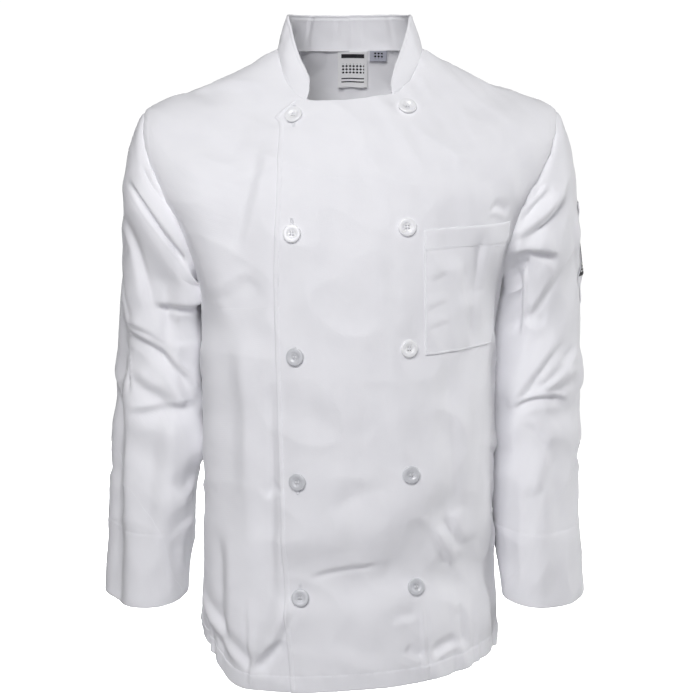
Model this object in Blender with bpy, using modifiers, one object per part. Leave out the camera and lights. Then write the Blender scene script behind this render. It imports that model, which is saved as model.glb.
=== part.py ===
"""A double-breasted chef jacket, worn shape with no wearer: stand collar, ten buttons, long sleeves.

The front faces -Y and +X is the wearer's left. The origin lies in the middle of the neck opening,
level with the points where the shoulders meet the collar. Tables and sizes are in millimetres.
"""
import math
from collections import namedtuple

import bmesh
import bpy
import numpy as np
from mathutils import Matrix, Vector
from mathutils.bvhtree import BVHTree

MM = 0.001
OBJECT_NAME = "chef_jacket"

# Cloth
WALL = 1.6                 # one panel, with its turnings
SEAM = 0.3                 # between two pieces
MITRE = 1.6                # how far a wall's inner edge stands back from its seam
LAP = WALL + 1.0           # the lapped front stands off the one under it

# The body from hem to neck, a row for each section. A section keeps its front height across the
# front and climbs to its side height near the side, the later the larger its "fall" is.
BodySection = namedtuple("BodySection", "up half_width front back z_side z_front z_back square fall")
BODY = (
    BodySection(0.000, 168, 131, 120, -660, -679, -671, 2.35, 5.0),
    BodySection(0.070, 166, 130, 119, -612, -628, -621, 2.35, 5.0),
    BodySection(0.150, 163, 129, 118, -557, -568, -564, 2.35, 5.0),
    BodySection(0.330, 162, 127, 116, -432, -440, -438, 2.35, 6.0),
    BodySection(0.470, 162, 126, 117, -334, -344, -341, 2.40, 9.0),
    BodySection(0.590, 168, 124, 118, -246, -262, -258, 2.45, 12.0),
    BodySection(0.715, 198, 119, 117, -150, -192, -180, 2.50, 12.0),
    BodySection(0.840, 222, 107, 108, -65, -130, -104, 2.40, 5.0),
    BodySection(0.920, 151, 92, 97, -36, -92, -46, 2.20, 4.0),
    BodySection(1.000, 79, 70, 73, 0, -53, 2, 2.10, 5.0),
)
LEAN = 0.10                # the front hangs lower toward the wearer's right

# Where a section meets the sleeve
ARMPIT, SHOULDER = 0.590, 0.840
ARMHOLE_CUT = math.radians(27)

# Upright lines down the front, by the share of the way up
EdgePoint = namedtuple("EdgePoint", "up x")
FREE_EDGE = (               # of the lapped front
    EdgePoint(0.00, -63), EdgePoint(0.09, -68), EdgePoint(0.28, -74), EdgePoint(0.45, -77),
    EdgePoint(0.65, -79), EdgePoint(0.80, -76), EdgePoint(1.00, -74))
UNDER_EDGE = (              # of the front under it
    EdgePoint(0.00, 83), EdgePoint(0.15, 79), EdgePoint(0.50, 75), EdgePoint(0.90, 74),
    EdgePoint(1.00, 73))
LAP_END = (                 # where the lapped front starts to come down
    EdgePoint(0.00, 90), EdgePoint(0.50, 84), EdgePoint(0.90, 80), EdgePoint(0.965, 75),
    EdgePoint(1.00, 50))
POCKET_LEFT = (
    EdgePoint(0.00, 87), EdgePoint(0.50, 78), EdgePoint(0.715, 76), EdgePoint(1.00, 76))
POCKET_RIGHT = (EdgePoint(0.50, 153), EdgePoint(0.715, 167))
LAP_EASE = 24              # the lapped front eases back down over this width
COLLAR_FRONT_X = (-44, 50)  # the collar's two front ends
FLAP_DROP = 0.033          # past the collar's end, each front's top edge runs this far below the neck

# The sleeve from armhole to cuff, the wearer's left one, a row for each section
SleeveSection = namedtuple(
    "SleeveSection", "along outer_x outer_z inner_x inner_z half_depth mid_y front_dip square")
SLEEVE = (
    SleeveSection(0.00, 222, -65, 168, -246, 76, 0, 0, 2.0),
    SleeveSection(0.06, 237, -85, 170, -252, 76, 2, 0, 2.0),
    SleeveSection(0.12, 245, -108, 170, -259, 75, 5, 0, 2.1),
    SleeveSection(0.20, 249, -142, 167, -268, 73, 10, 0, 2.2),
    SleeveSection(0.28, 251, -182, 164, -281, 70, 15, 0, 2.2),
    SleeveSection(0.38, 255, -242, 160, -306, 67, 21, 0, 2.2),
    SleeveSection(0.50, 261, -318, 158, -350, 64, 26, 0, 2.2),
    SleeveSection(0.62, 262, -396, 158, -410, 61, 26, 0, 2.2),
    SleeveSection(0.75, 261, -466, 160, -472, 58, 20, 2, 2.1),
    SleeveSection(0.88, 264, -545, 166, -548, 55, 10, 4, 2.1),
    SleeveSection(1.00, 267, -607, 174, -610, 52, 3, 6, 2.1),
)
CAP_BLEND = 0.20           # the sleeve leaves the armhole's own outline over this share
RIGHT_SWING = 13           # the wearer's right arm hangs this much further out ...
SWING_TOP, SWING_LOW = -290, -490   # ... between these heights

# Collar
COLLAR_HEIGHT = 39
COLLAR_FRONT_SHARE = 0.45  # of the height, at the front ends
COLLAR_CORNER = 26         # degrees round the neck that the front corner takes
COLLAR_LEAN_IN = 11        # its top edge stands nearer the neck
COLLAR_WALL = 2.2
COLLAR_SEAM = 0.7          # the collar stands this far above the neckline
COLLAR_END_BACK = 2        # degrees that it starts behind the fronts' neck corners
COLLAR_COLUMNS = 31
COLLAR_ROWS = 5

# Buttons
BUTTON_WIDTH = 19.0
BUTTON_THICK = 3.2
BUTTON_SIT = 0.55
BUTTON_SIDES = 12
ButtonStep = namedtuple("ButtonStep", "radius height")   # shares of its radius and thickness
BUTTON_STEPS = (            # from the dished middle over the rim to the flat back
    ButtonStep(0.00, 0.55), ButtonStep(0.60, 0.55), ButtonStep(0.72, 1.00), ButtonStep(0.90, 1.00),
    ButtonStep(1.00, 0.60), ButtonStep(0.92, 0.00), ButtonStep(0.00, 0.00),
)
ButtonRow = namedtuple("ButtonRow", "lapped_x lapped_z sewn_x sewn_z")
BUTTON_ROWS = (
    ButtonRow(-59, -70, 60, -61),
    ButtonRow(-60, -190, 59, -183),
    ButtonRow(-57, -318, 61, -309),
    ButtonRow(-55, -451, 64, -442),
    ButtonRow(-53, -579, 70, -568),
)

# Patches lie on whole squares of their panel's grid
POCKET_WALL = 1.2
POCKET_BOTTOM, POCKET_TOP = 0.500, 0.715          # shares up the body
SleevePatch = namedtuple("SleevePatch", "start stop front_side rear_side")
SLEEVE_POCKET = SleevePatch(0.245, 0.435, 1, -3)
SLEEVE_LABEL = SleevePatch(0.300, 0.385, 1, 0)
LABEL_WALL = 0.8
BackLabel = namedtuple("BackLabel", "left right low columns")
NECK_LABEL = BackLabel(-14, 20, 0.932, 3)
SIZE_LABEL = BackLabel(23, 42, 0.981, 2)
LABEL_TOP = 0.996

# Folds run between two places as seen from one side; a positive depth stands out
Fold = namedtuple("Fold", "seen_from across_0 z_0 across_1 z_1 half_width depth")
BODY_FOLDS = (
    Fold("front", -66, -250, -84, -500, 17, -6.5),     # trough beside the free edge
    Fold("front", -165, -150, -112, -330, 24, 7.5),    # drape from the armhole to the waist
    Fold("front", -118, -90, -104, -290, 18, -5.0),
    Fold("front", -122, -560, -122, -690, 18, 6.5),    # hem tube on the wearer's right
    Fold("front", -104, -665, -62, -600, 12, 4.5),     # pull up to the lowest button
    Fold("front", -30, -596, 55, -580, 16, 4.0),       # drag line between the lowest buttons
    Fold("front", 95, -490, -35, -620, 26, -6.0),      # slack across the belly
    Fold("front", 120, -400, 40, -520, 22, 5.0),
    Fold("front", 132, -450, 154, -560, 16, 6.0),      # short folds at the wearer's left waist
    Fold("front", 118, -140, 160, -215, 22, 6.5),      # bulge over the chest pocket
    Fold("front", 158, -240, 120, -340, 16, -5.0),
    Fold("front", -165, -45, -85, -72, 16, -5.0),      # dips below the shoulders
    Fold("front", 160, -50, 100, -72, 16, -4.0),
    Fold("front", 20, -230, 60, -420, 30, 4.0),
    Fold("left", 24, -262, 30, -480, 28, -13.0),       # hollows where the arms lie
    Fold("right", 26, -262, 32, -455, 26, -12.0),
    Fold("back", -125, -110, -70, -320, 24, 7.0),      # back: long drapes from the shoulder blades
    Fold("back", 122, -110, 75, -330, 24, 7.0),
    Fold("back", -24, -330, -60, -670, 26, -7.0),
    Fold("back", 40, -360, 55, -670, 24, -7.0),
    Fold("back", -95, -490, 95, -455, 20, 5.0),
    Fold("back", -100, -400, 100, -415, 18, -4.0),
)
SLEEVE_FOLDS = {
    "left": (
        Fold("front", 208, -150, 186, -230, 14, -6.0),
        Fold("front", 250, -190, 180, -262, 15, 7.5),
        Fold("front", 180, -270, 176, -340, 16, -7.0),
        Fold("front", 258, -345, 165, -425, 16, 8.5),
        Fold("front", 180, -400, 232, -395, 14, -6.0),
        Fold("front", 235, -250, 212, -330, 14, -5.0),
        Fold("front", 212, -460, 222, -560, 16, 4.5),
        Fold("left", 10, -330, 50, -395, 16, -5.0),
        Fold("left", -25, -420, 55, -440, 16, 5.0),
        Fold("back", 200, -180, 240, -300, 18, 6.5),
        Fold("back", 185, -350, 250, -400, 16, -7.5),
        Fold("back", 190, -425, 240, -485, 16, 6.0),
    ),
    "right": (
        Fold("front", -240, -160, -180, -240, 15, 7.0),
        Fold("front", -240, -215, -176, -290, 15, -7.0),
        Fold("front", -262, -250, -195, -350, 15, 7.0),
        Fold("front", -266, -370, -180, -440, 16, 8.5),
        Fold("front", -250, -320, -200, -370, 14, -5.0),
        Fold("front", -230, -440, -180, -480, 15, -6.0),
        Fold("front", -262, -440, -250, -550, 14, 4.5),
        Fold("right", 10, -370, 50, -430, 14, -4.0),
        Fold("right", 5, -170, 35, -260, 16, -5.0),
        Fold("back", -200, -190, -240, -300, 18, 6.5),
        Fold("back", -185, -350, -255, -390, 16, -7.5),
        Fold("back", -190, -430, -245, -495, 16, 6.0),
    ),
}
# Gathers of the hem, in degrees round the body from the front centre
Gathers = namedtuple("Gathers", "start stop count depth")
HEM_GATHERS = (Gathers(-96, -52, 5, 2.6), Gathers(36, 88, 6, 2.4), Gathers(110, 250, 9, 2.0))
FOLD_END = 1.6             # a fold dies out over this many half widths past its ends
GATHER_UP = 0.045          # they die out over this share above the hem
PullUp = namedtuple("PullUp", "middle reach lift up")
PULL_UP = PullUp(-84, 30, 21, 0.16)   # the gathered side hangs higher

# Mesh steps
HEM_FINER = 3
HEM_ROW = 0.027            # the hem's stitch line, where the finer columns end
ROWS_TO_POCKET = 12
UPPER_ROWS = (0.862, 0.885, 0.909, NECK_LABEL.low, 0.958, SIZE_LABEL.low, 1.0)
SIDE_COLUMNS, LAP_COLUMNS, POCKET_COLUMNS, ARM_COLUMNS = 8, 8, 5, 3
SLEEVE_SIDES = 20
ARMHOLE_ROWS = SLEEVE_SIDES // 2
RingRun = namedtuple("RingRun", "start count")
SLEEVE_RINGS = (
    RingRun(0.0, 3), RingRun(0.09, 3), RingRun(0.245, 1), RingRun(0.300, 2), RingRun(0.385, 1),
    RingRun(0.435, 11), RingRun(1.0, 0))

FACE_WAYS = {"front": (0, -1, 0), "back": (0, 1, 0), "left": (1, 0, 0), "right": (-1, 0, 0)}


# ---------------------------------------------------------------- tables and surfaces
def read_table(table, at):
    """Return the table's row at a first-column value, on a smooth curve through its rows."""
    rows = np.asarray(table, float)
    key = rows[:, 0]
    slope = np.gradient(rows, key, axis=0)
    at = np.clip(np.asarray(at, float), key[0], key[-1])
    low = np.clip(np.searchsorted(key, at, side="right") - 1, 0, len(key) - 2)
    span = (key[low + 1] - key[low])[..., None]
    part = (at - key[low])[..., None] / span
    value = (rows[low] * (2 * part**3 - 3 * part**2 + 1) + rows[low + 1] * (3 * part**2 - 2 * part**3)
             + slope[low] * span * (part**3 - 2 * part**2 + part)
             + slope[low + 1] * span * (part**3 - part**2))
    return type(table[0])(*np.moveaxis(value, -1, 0))


def ease(share):
    """Smooth step from 0 to 1."""
    share = np.clip(share, 0, 1)
    return share * share * (3 - 2 * share)


def signed_power(value, power):
    return np.sign(value) * np.abs(value) ** power


def body_skin(turn, up):
    """Point on the plain body: turn is the angle round from the front centre toward the wearer's left."""
    row = read_table(BODY, up)
    side, ahead = np.sin(turn), np.cos(turn)
    x = row.half_width * signed_power(side, 2 / row.square)
    y = -np.where(ahead > 0, row.front, row.back) * signed_power(ahead, 2 / row.square)
    low = 1 - np.abs(side) ** row.fall
    z = row.z_side + (np.where(ahead > 0, row.z_front, row.z_back) - row.z_side) * low
    z = z + LEAN * row.half_width * side * np.maximum(ahead, 0)
    beside = (np.degrees(turn) - PULL_UP.middle + 180) % 360 - 180
    z = z + PULL_UP.lift * np.exp(-(beside / PULL_UP.reach) ** 4) * (1 - ease(up / PULL_UP.up))
    return np.stack([x, y, z], -1)


def turn_at(x, up):
    """Angle on the front at which the body has this x."""
    row = read_table(BODY, up)
    share = np.clip(np.abs(x) / row.half_width, 0, 0.9999)
    return np.sign(x) * np.arcsin(share ** (row.square / 2))


def fold_rise(points, normals, folds):
    """How far the folds raise or sink the cloth at each point."""
    rise = np.zeros(points.shape[:-1])
    for fold in folds:
        way = np.array(FACE_WAYS[fold.seen_from], float)
        across = points[..., 0] if way[0] == 0 else points[..., 1]
        facing = ease(2.2 * (normals @ way))
        length = math.hypot(fold.across_1 - fold.across_0, fold.z_1 - fold.z_0)
        run_across = (fold.across_1 - fold.across_0) / length
        run_up = (fold.z_1 - fold.z_0) / length
        off_across, off_up = across - fold.across_0, points[..., 2] - fold.z_0
        along = off_across * run_across + off_up * run_up
        beside = off_across * run_up - off_up * run_across
        past = np.maximum(np.maximum(-along, along - length), 0)
        bell = np.exp(-(beside / fold.half_width) ** 2 - (past / (FOLD_END * fold.half_width)) ** 2)
        rise += fold.depth * bell * facing
    return rise


def armhole_fade(turn, up):
    """0 at the armhole, 1 a hand's breadth away, so that body and sleeve meet on one line."""
    middle, reach = (ARMPIT + SHOULDER) / 2, (SHOULDER - ARMPIT) / 2
    side = np.abs(np.abs(np.angle(np.exp(1j * turn))) - math.pi / 2)
    distance = np.hypot(side / ARMHOLE_CUT, (up - middle) / reach)
    return ease((distance - 1) / 0.45)


def hem_rise(turn, up):
    """Small gathers along the hem."""
    degrees = np.degrees(turn) % 360
    rise = np.zeros(np.shape(degrees))
    for run in HEM_GATHERS:
        share = np.minimum(((degrees - run.start) % 360) / (run.stop - run.start), 1)
        waves = np.sin(2 * np.pi * run.count * share)
        rise += run.depth * np.sqrt(np.sin(np.pi * share).clip(0)) * waves
    return rise * (1 - ease(up / GATHER_UP))


def lap_rise(turn, up):
    """Height of the lapped front above the plain body."""
    lap_end = read_table(LAP_END, up).x
    across = body_skin(turn, up)[..., 0]
    return LAP * (1 - ease((across - lap_end) / LAP_EASE))


def normals_of(surface, first, second):
    """Outward unit normals of a surface function by small steps in its two arguments."""
    step = 1e-4
    d_first = surface(first + step, second) - surface(first - step, second)
    d_second = surface(first, second + step) - surface(first, second - step)
    normal = np.cross(d_first, d_second)
    return normal / np.linalg.norm(normal, axis=-1, keepdims=True)


def body_cloth(turn, up, out):
    """Point on the draped body, moved out by so many millimetres."""
    turn, up = np.broadcast_arrays(np.asarray(turn, float), np.asarray(up, float))
    points = body_skin(turn, up)
    inner_up = np.clip(up, 2e-4, 1 - 2e-4)
    normals = normals_of(body_skin, turn, inner_up)
    rise = fold_rise(points, normals, BODY_FOLDS) * armhole_fade(turn, up) + hem_rise(turn, up)
    return points + normals * (rise + out)[..., None]


def armhole_turn_up(around, side):
    """Body angle and share up of the armhole at an angle round the sleeve."""
    middle, reach = (ARMPIT + SHOULDER) / 2, (SHOULDER - ARMPIT) / 2
    up = middle + reach * np.cos(around)
    turn = side * (math.pi / 2 - ARMHOLE_CUT * np.sin(around))
    return turn, up


def sleeve_skin(around, along, side):
    """Point on the plain sleeve; around is 0 at the outer line and a quarter turn at the front."""
    row = read_table(SLEEVE, along)
    reach = signed_power(np.cos(around), 2 / row.square)
    ahead = np.sin(around)
    x = (row.outer_x + row.inner_x) / 2 + (row.outer_x - row.inner_x) / 2 * reach
    y = row.mid_y - row.half_depth * signed_power(ahead, 2 / row.square)
    z = (row.outer_z + row.inner_z) / 2 + (row.outer_z - row.inner_z) / 2 * reach
    z = z - row.front_dip * ahead
    if side < 0:
        x = x + RIGHT_SWING * ease((SWING_TOP - z) / (SWING_TOP - SWING_LOW))
    tube = np.stack([side * x, y, z], -1)
    root = body_skin(*armhole_turn_up(around, side))
    blend = ease(along / CAP_BLEND)[..., None]
    return root * (1 - blend) + tube * blend


def sleeve_cloth(around, along, out, side):
    """Point on the draped sleeve, moved out by so many millimetres."""
    around, along = np.broadcast_arrays(np.asarray(around, float), np.asarray(along, float))
    points = sleeve_skin(around, along, side)
    inner_along = np.clip(along, 2e-4, 1 - 2e-4)
    normals = side * normals_of(lambda a, s: sleeve_skin(a, s, side), around, inner_along)
    folds = SLEEVE_FOLDS["left" if side > 0 else "right"]
    rise = fold_rise(points, normals, folds) * ease(along / 0.12)
    return points + normals * (rise + out)[..., None]


# ---------------------------------------------------------------- meshes
def strip_faces(low, high, low_share, high_share):
    """Triangles between two rows of vertices that may differ in number."""
    faces, i, j = [], 0, 0
    while i < len(low) - 1 or j < len(high) - 1:
        if j == len(high) - 1 or (i < len(low) - 1 and low_share[i + 1] <= high_share[j + 1]):
            faces.append((low[i], low[i + 1], high[j]))
            i += 1
        else:
            faces.append((low[i], high[j + 1], high[j]))
            j += 1
    return faces


def wall_mesh(name, outer_rows, inner_rows, shares, closed):
    """A closed wall between an outer and an inner skin, each a list of rows of points."""
    mesh = bmesh.new()

    def make_rows(rows):
        made = []
        for row in rows:
            verts = [mesh.verts.new(Vector(point) * MM) for point in row]
            made.append(verts + verts[:1] if closed else verts)
        return made

    outer, inner = make_rows(outer_rows), make_rows(inner_rows)
    for k in range(len(outer) - 1):
        for face in strip_faces(outer[k], outer[k + 1], shares[k], shares[k + 1]):
            mesh.faces.new(face)
        for face in strip_faces(inner[k], inner[k + 1], shares[k], shares[k + 1]):
            mesh.faces.new(face[::-1])
    rims = [(inner[0], outer[0]), (outer[-1], inner[-1])]
    if not closed:
        rims += [([row[0] for row in outer], [row[0] for row in inner]),
                 ([row[-1] for row in inner], [row[-1] for row in outer])]
    for first, second in rims:
        for k in range(len(first) - 1):
            mesh.faces.new((first[k], first[k + 1], second[k + 1], second[k]))
    bmesh.ops.triangulate(mesh, faces=[face for face in mesh.faces if len(face.verts) > 3])
    bmesh.ops.recalc_face_normals(mesh, faces=mesh.faces)
    data = bpy.data.meshes.new(name)
    mesh.to_mesh(data)
    mesh.free()
    return data


def add_part(name, data, material):
    data.materials.append(material)
    data.shade_smooth()
    part = bpy.data.objects.new(name, data)
    parts_collection.objects.link(part)
    return part


def make_material(name, colour, roughness):
    material = bpy.data.materials.new(name)
    material.use_nodes = True
    shader = material.node_tree.nodes["Principled BSDF"]
    shader.inputs["Base Color"].default_value = (*colour, 1)
    shader.inputs["Roughness"].default_value = roughness
    shader.inputs["Metallic"].default_value = 0.0
    material.diffuse_color = (*colour, 1)
    return material


# ---------------------------------------------------------------- pieces
def body_rows():
    """Shares up of the body's rows: even below the armpit, by the armhole's curve beside it."""
    below = np.linspace(HEM_ROW, POCKET_BOTTOM, ROWS_TO_POCKET)
    beside = armhole_turn_up(np.linspace(math.pi, 0, ARMHOLE_ROWS + 1), 1)[1]
    return np.concatenate([[0.0], below, [(POCKET_BOTTOM + ARMPIT) / 2], beside, UPPER_ROWS])


def side_turn(up):
    """Angle at which a front panel ends: the side seam, the armhole or the shoulder seam."""
    middle, reach = (ARMPIT + SHOULDER) / 2, (SHOULDER - ARMPIT) / 2
    hole = np.sqrt(np.maximum(0, 1 - ((up - middle) / reach) ** 2))
    return math.pi / 2 - ARMHOLE_CUT * hole


def free_edge(up):
    return turn_at(read_table(FREE_EDGE, up).x, np.minimum(up, 1 - FLAP_DROP))


def under_edge(up):
    return turn_at(read_table(UNDER_EDGE, up).x, np.minimum(up, 1 - FLAP_DROP))


def pocket_left(up):
    return turn_at(read_table(POCKET_LEFT, up).x, np.minimum(up, 1 - FLAP_DROP))


def pocket_right(up):
    """The pocket's far edge, and above and below it the same share of what is left of the panel."""
    beside = np.clip(up, POCKET_BOTTOM, POCKET_TOP)
    edge = turn_at(read_table(POCKET_RIGHT, beside).x, beside)
    share = (edge - pocket_left(beside)) / (side_turn(beside) - pocket_left(beside))
    return pocket_left(up) + share * (side_turn(up) - pocket_left(up))


def columns(edges, counts, up, finer=1):
    """Angles of a row's columns: even between each edge and the next."""
    marks = [edge(up) for edge in edges]
    turns = [np.linspace(first, last, count * finer, endpoint=False)
             for first, last, count in zip(marks, marks[1:], counts)]
    return np.concatenate(turns + [[marks[-1]]])


def plain(turn, up):
    return np.zeros(np.shape(turn))


def flat_top(turn):
    return np.ones(np.shape(turn))


def panel_wall(name, edges, counts, top_of, out_of):
    """A body panel whose grid runs between its edges; top_of trims its upper edge by angle."""
    ups = body_rows()
    finer = [HEM_FINER if up <= 0.0 else 1 for up in ups]
    shares = [np.linspace(0, 1, fine * sum(counts) + 1) for fine in finer]

    def skin(out_by, side_gap, end_gap):
        rows = []
        for fine, up in zip(finer, np.clip(ups, end_gap, 1 - end_gap)):
            turn = columns(edges, counts, up, fine)
            gap = side_gap / read_table(BODY, up).front
            turn[0] += gap
            turn[-1] -= gap
            share = max(0.0, (up - SHOULDER) / (1 - SHOULDER))
            up_here = up - share * (1 - top_of(turn))
            rows.append(body_cloth(turn, up_here, out_of(turn, up_here) + out_by))
        return rows

    outer = skin(0, SEAM / 2, 0)
    inner = skin(-WALL, SEAM / 2 + MITRE, MITRE / 700)
    return wall_mesh(name, outer, inner, shares, closed=False)


def patch_wall(name, surface, firsts, seconds, base_out, wall):
    """A patch on a surface's own grid, moved out; firsts gives a row's first arguments."""
    outer = [surface(firsts(second), second, base_out + wall) for second in seconds]
    inner = [surface(firsts(second), second, base_out) for second in seconds]
    shares = [np.linspace(0, 1, len(outer[0]))] * len(outer)
    return wall_mesh(name, outer, inner, shares, closed=False)


def left_front_top(turn):
    """The lapped front's top edge: the neckline, then below it past the collar's end."""
    start = turn_at(COLLAR_FRONT_X[0], 1.0)
    return 1 - FLAP_DROP * ease((start - turn) / math.radians(22))


def right_front_top(turn):
    start = turn_at(COLLAR_FRONT_X[1], 1.0)
    return 1 - FLAP_DROP * ease((turn - start) / math.radians(22))


FRONT_EDGES = (free_edge, under_edge, pocket_left, pocket_right, side_turn)
FRONT_COUNTS = (LAP_COLUMNS, 1, POCKET_COLUMNS, ARM_COLUMNS)


def label_turn(x, up):
    """Angle of a label's upright edge inside the back, and the same angle below the label."""
    return math.pi - turn_at(x, np.clip(up, NECK_LABEL.low, 1.0))


def back_edges():
    """The back's edges, with one at each side of the labels, from the wearer's left side round."""
    marks = (SIZE_LABEL.right, SIZE_LABEL.left, NECK_LABEL.right, NECK_LABEL.left)
    inner = [lambda up, x=x: label_turn(x, up) for x in marks]
    return [lambda up: math.pi - side_turn(up), *inner, lambda up: math.pi + side_turn(up)]


BACK_COUNTS = (9, SIZE_LABEL.columns, 1, NECK_LABEL.columns, 10)


def make_back(cloth):
    return add_part("back", panel_wall("back", back_edges(), BACK_COUNTS, flat_top, plain), cloth)


def make_left_front(cloth):
    data = panel_wall("left_front", FRONT_EDGES, FRONT_COUNTS, left_front_top, lap_rise)
    return add_part("left_front", data, cloth)


def make_right_front(cloth):
    edges = (lambda up: -side_turn(up), free_edge, under_edge)
    data = panel_wall("right_front", edges, (SIDE_COLUMNS, LAP_COLUMNS), right_front_top, plain)
    return add_part("right_front", data, cloth)


def sleeve_rings():
    """Shares along the sleeve of its rings."""
    runs = [np.linspace(run.start, after.start, run.count, endpoint=False)
            for run, after in zip(SLEEVE_RINGS, SLEEVE_RINGS[1:])]
    return np.concatenate(runs + [[1.0]])


def sleeve_gap(side):
    """The sleeve as a whole stands this far off its armhole."""
    return np.array([side * 1.3 * SEAM, 0, -SEAM / 2])


def make_sleeve(name, side, cloth):
    along = sleeve_rings()
    around = np.linspace(0, 2 * math.pi, SLEEVE_SIDES + 1)[:-1] * side
    shares = [np.linspace(0, 1, SLEEVE_SIDES + 1)] * len(along)

    def skin(out_by, by_end):
        rows = []
        for value in along:
            value = np.clip(value, by_end, 1 - by_end / 4)
            rows.append(sleeve_cloth(around, value, out_by, side) + sleeve_gap(side))
        return rows

    data = wall_mesh(name, skin(0, 0), skin(-WALL, MITRE / 160), shares, closed=True)
    return add_part(name, data, cloth)


def collar_wall_rows():
    """Rows of the collar from neck seam to top edge, from one front end round the back to the other."""
    first = turn_at(COLLAR_FRONT_X[1], 1.0) + math.radians(COLLAR_END_BACK)
    last = 2 * math.pi + turn_at(COLLAR_FRONT_X[0], 1.0) - math.radians(COLLAR_END_BACK)
    turns = np.linspace(first, last, COLLAR_COLUMNS)
    corner = math.radians(COLLAR_CORNER)
    from_end = np.minimum(turns - first, last - turns)
    height = COLLAR_HEIGHT * (
        COLLAR_FRONT_SHARE
        + (1 - COLLAR_FRONT_SHARE) * np.sin(np.pi / 2 * np.clip(from_end / corner, 0, 1)))
    out = np.where(turns < math.pi, lap_rise(turns, np.ones(COLLAR_COLUMNS)), 0)
    base = body_cloth(turns, 1.0, out)
    inward = -base * np.array([1, 1, 0])
    inward /= np.linalg.norm(inward, axis=-1, keepdims=True)
    outer, inner = [], []
    for share in np.linspace(0, 1, COLLAR_ROWS):
        lean = COLLAR_LEAN_IN * share * height / COLLAR_HEIGHT
        point = base + inward * lean[:, None]
        point[:, 2] += COLLAR_SEAM + share * height
        outer.append(point)
        inner.append(point + inward * COLLAR_WALL)
    return outer, inner


def make_collar(cloth):
    outer, inner = collar_wall_rows()
    shares = [np.linspace(0, 1, len(outer[0]))] * len(outer)
    return add_part("collar", wall_mesh("collar", outer, inner, shares, closed=False), cloth)


def make_chest_pocket(cloth):
    ups = body_rows()
    ups = ups[(ups >= POCKET_BOTTOM) & (ups <= POCKET_TOP)]
    data = patch_wall(
        "chest_pocket", lambda turn, up, out: body_cloth(turn, up, lap_rise(turn, up) + out),
        lambda up: columns((pocket_left, pocket_right), (POCKET_COLUMNS,), up), ups,
        SEAM, POCKET_WALL)
    return add_part("chest_pocket", data, cloth)


def sleeve_patch(name, place, base_out, wall, material):
    """A patch on the wearer's left sleeve, on whole squares of its grid."""
    rings = sleeve_rings()
    rings = rings[(rings >= place.start) & (rings <= place.stop)]
    turns = np.arange(place.rear_side, place.front_side + 1) * 2 * math.pi / SLEEVE_SIDES
    data = patch_wall(
        name, lambda around, along, out: sleeve_cloth(around, along, out, 1) + sleeve_gap(1),
        lambda along: turns, rings, base_out, wall)
    return add_part(name, data, material)


def make_back_label(name, place, label):
    """A label inside the back, hanging from the neck seam."""
    ups = np.array([up for up in UPPER_ROWS if place.low <= up < 1.0] + [LABEL_TOP])
    edges = (lambda up: label_turn(place.right, up), lambda up: label_turn(place.left, up))
    data = patch_wall(
        name, body_cloth, lambda up: columns(edges, (place.columns,), up), ups,
        -(WALL + SEAM + LABEL_WALL), LABEL_WALL)
    return add_part(name, data, label)


def make_button(name, x, z, plastic):
    """A turned button: flat back, rounded edge, raised rim and a dished middle."""
    profile = [(BUTTON_WIDTH / 2 * step.radius, BUTTON_THICK * step.height)
               for step in BUTTON_STEPS]
    data = bpy.data.meshes.new(name)
    edges = [(k, k + 1) for k in range(len(profile) - 1)]
    data.from_pydata([(r * MM, 0, height * MM) for r, height in profile], edges, [])
    button = add_part(name, data, plastic)
    screw = button.modifiers.new("turn", "SCREW")
    screw.steps = screw.render_steps = BUTTON_SIDES
    screw.use_merge_vertices = True
    screw.merge_threshold = 0.0001
    button.matrix_world = seat_on_front(x, z)
    return button


def seat_on_front(x, z):
    """Frame of a button that rests on the lapped front: its highest point under the button."""
    cloth = bpy.data.objects["left_front"].data
    tree = BVHTree.FromPolygons([v.co for v in cloth.vertices], [p.vertices for p in cloth.polygons])
    reach = BUTTON_WIDTH / 2
    ring = [(x + reach * math.cos(a), z + reach * math.sin(a))
            for a in np.linspace(0, 2 * math.pi, 13)[:-1]]
    hits = [tree.ray_cast(Vector((px, -300, pz)) * MM, Vector((0, 1, 0)))[0] / MM
            for px, pz in [(x, z), *ring]]
    centre = sum(hits[1:], Vector()) / len(ring)
    axis_x = (hits[1] - hits[7]).normalized()
    axis_z = axis_x.cross(hits[4] - hits[10]).normalized()
    height = max((hit - centre).dot(axis_z) for hit in hits)
    frame = Matrix((axis_x, axis_z.cross(axis_x), axis_z)).transposed().to_4x4()
    frame.translation = (centre + axis_z * (height + BUTTON_SIT)) * MM
    return frame


def make_buttons(plastic):
    for number, row in enumerate(BUTTON_ROWS, start=1):
        make_button(f"lapped_button_{number}", row.lapped_x, row.lapped_z, plastic)
        make_button(f"sewn_button_{number}", row.sewn_x, row.sewn_z, plastic)


# ---------------------------------------------------------------- build
for old in list(bpy.data.objects):
    bpy.data.objects.remove(old, do_unlink=True)
parts_collection = bpy.data.collections.new(OBJECT_NAME)
bpy.context.scene.collection.children.link(parts_collection)

twill = make_material("white_twill", (0.82, 0.82, 0.83), 0.85)
label_tape = make_material("label_tape", (0.86, 0.86, 0.86), 0.7)
button_plastic = make_material("button_plastic", (0.78, 0.77, 0.75), 0.3)

make_back(twill)
make_left_front(twill)
make_right_front(twill)
make_sleeve("left_sleeve", 1, twill)
make_sleeve("right_sleeve", -1, twill)
make_collar(twill)
make_chest_pocket(twill)
sleeve_patch("sleeve_pocket", SLEEVE_POCKET, SEAM, POCKET_WALL, twill)
sleeve_patch("sleeve_label", SLEEVE_LABEL, 2 * SEAM + POCKET_WALL, LABEL_WALL, label_tape)
make_back_label("neck_label", NECK_LABEL, label_tape)
make_back_label("size_label", SIZE_LABEL, label_tape)
make_buttons(button_plastic)
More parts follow.
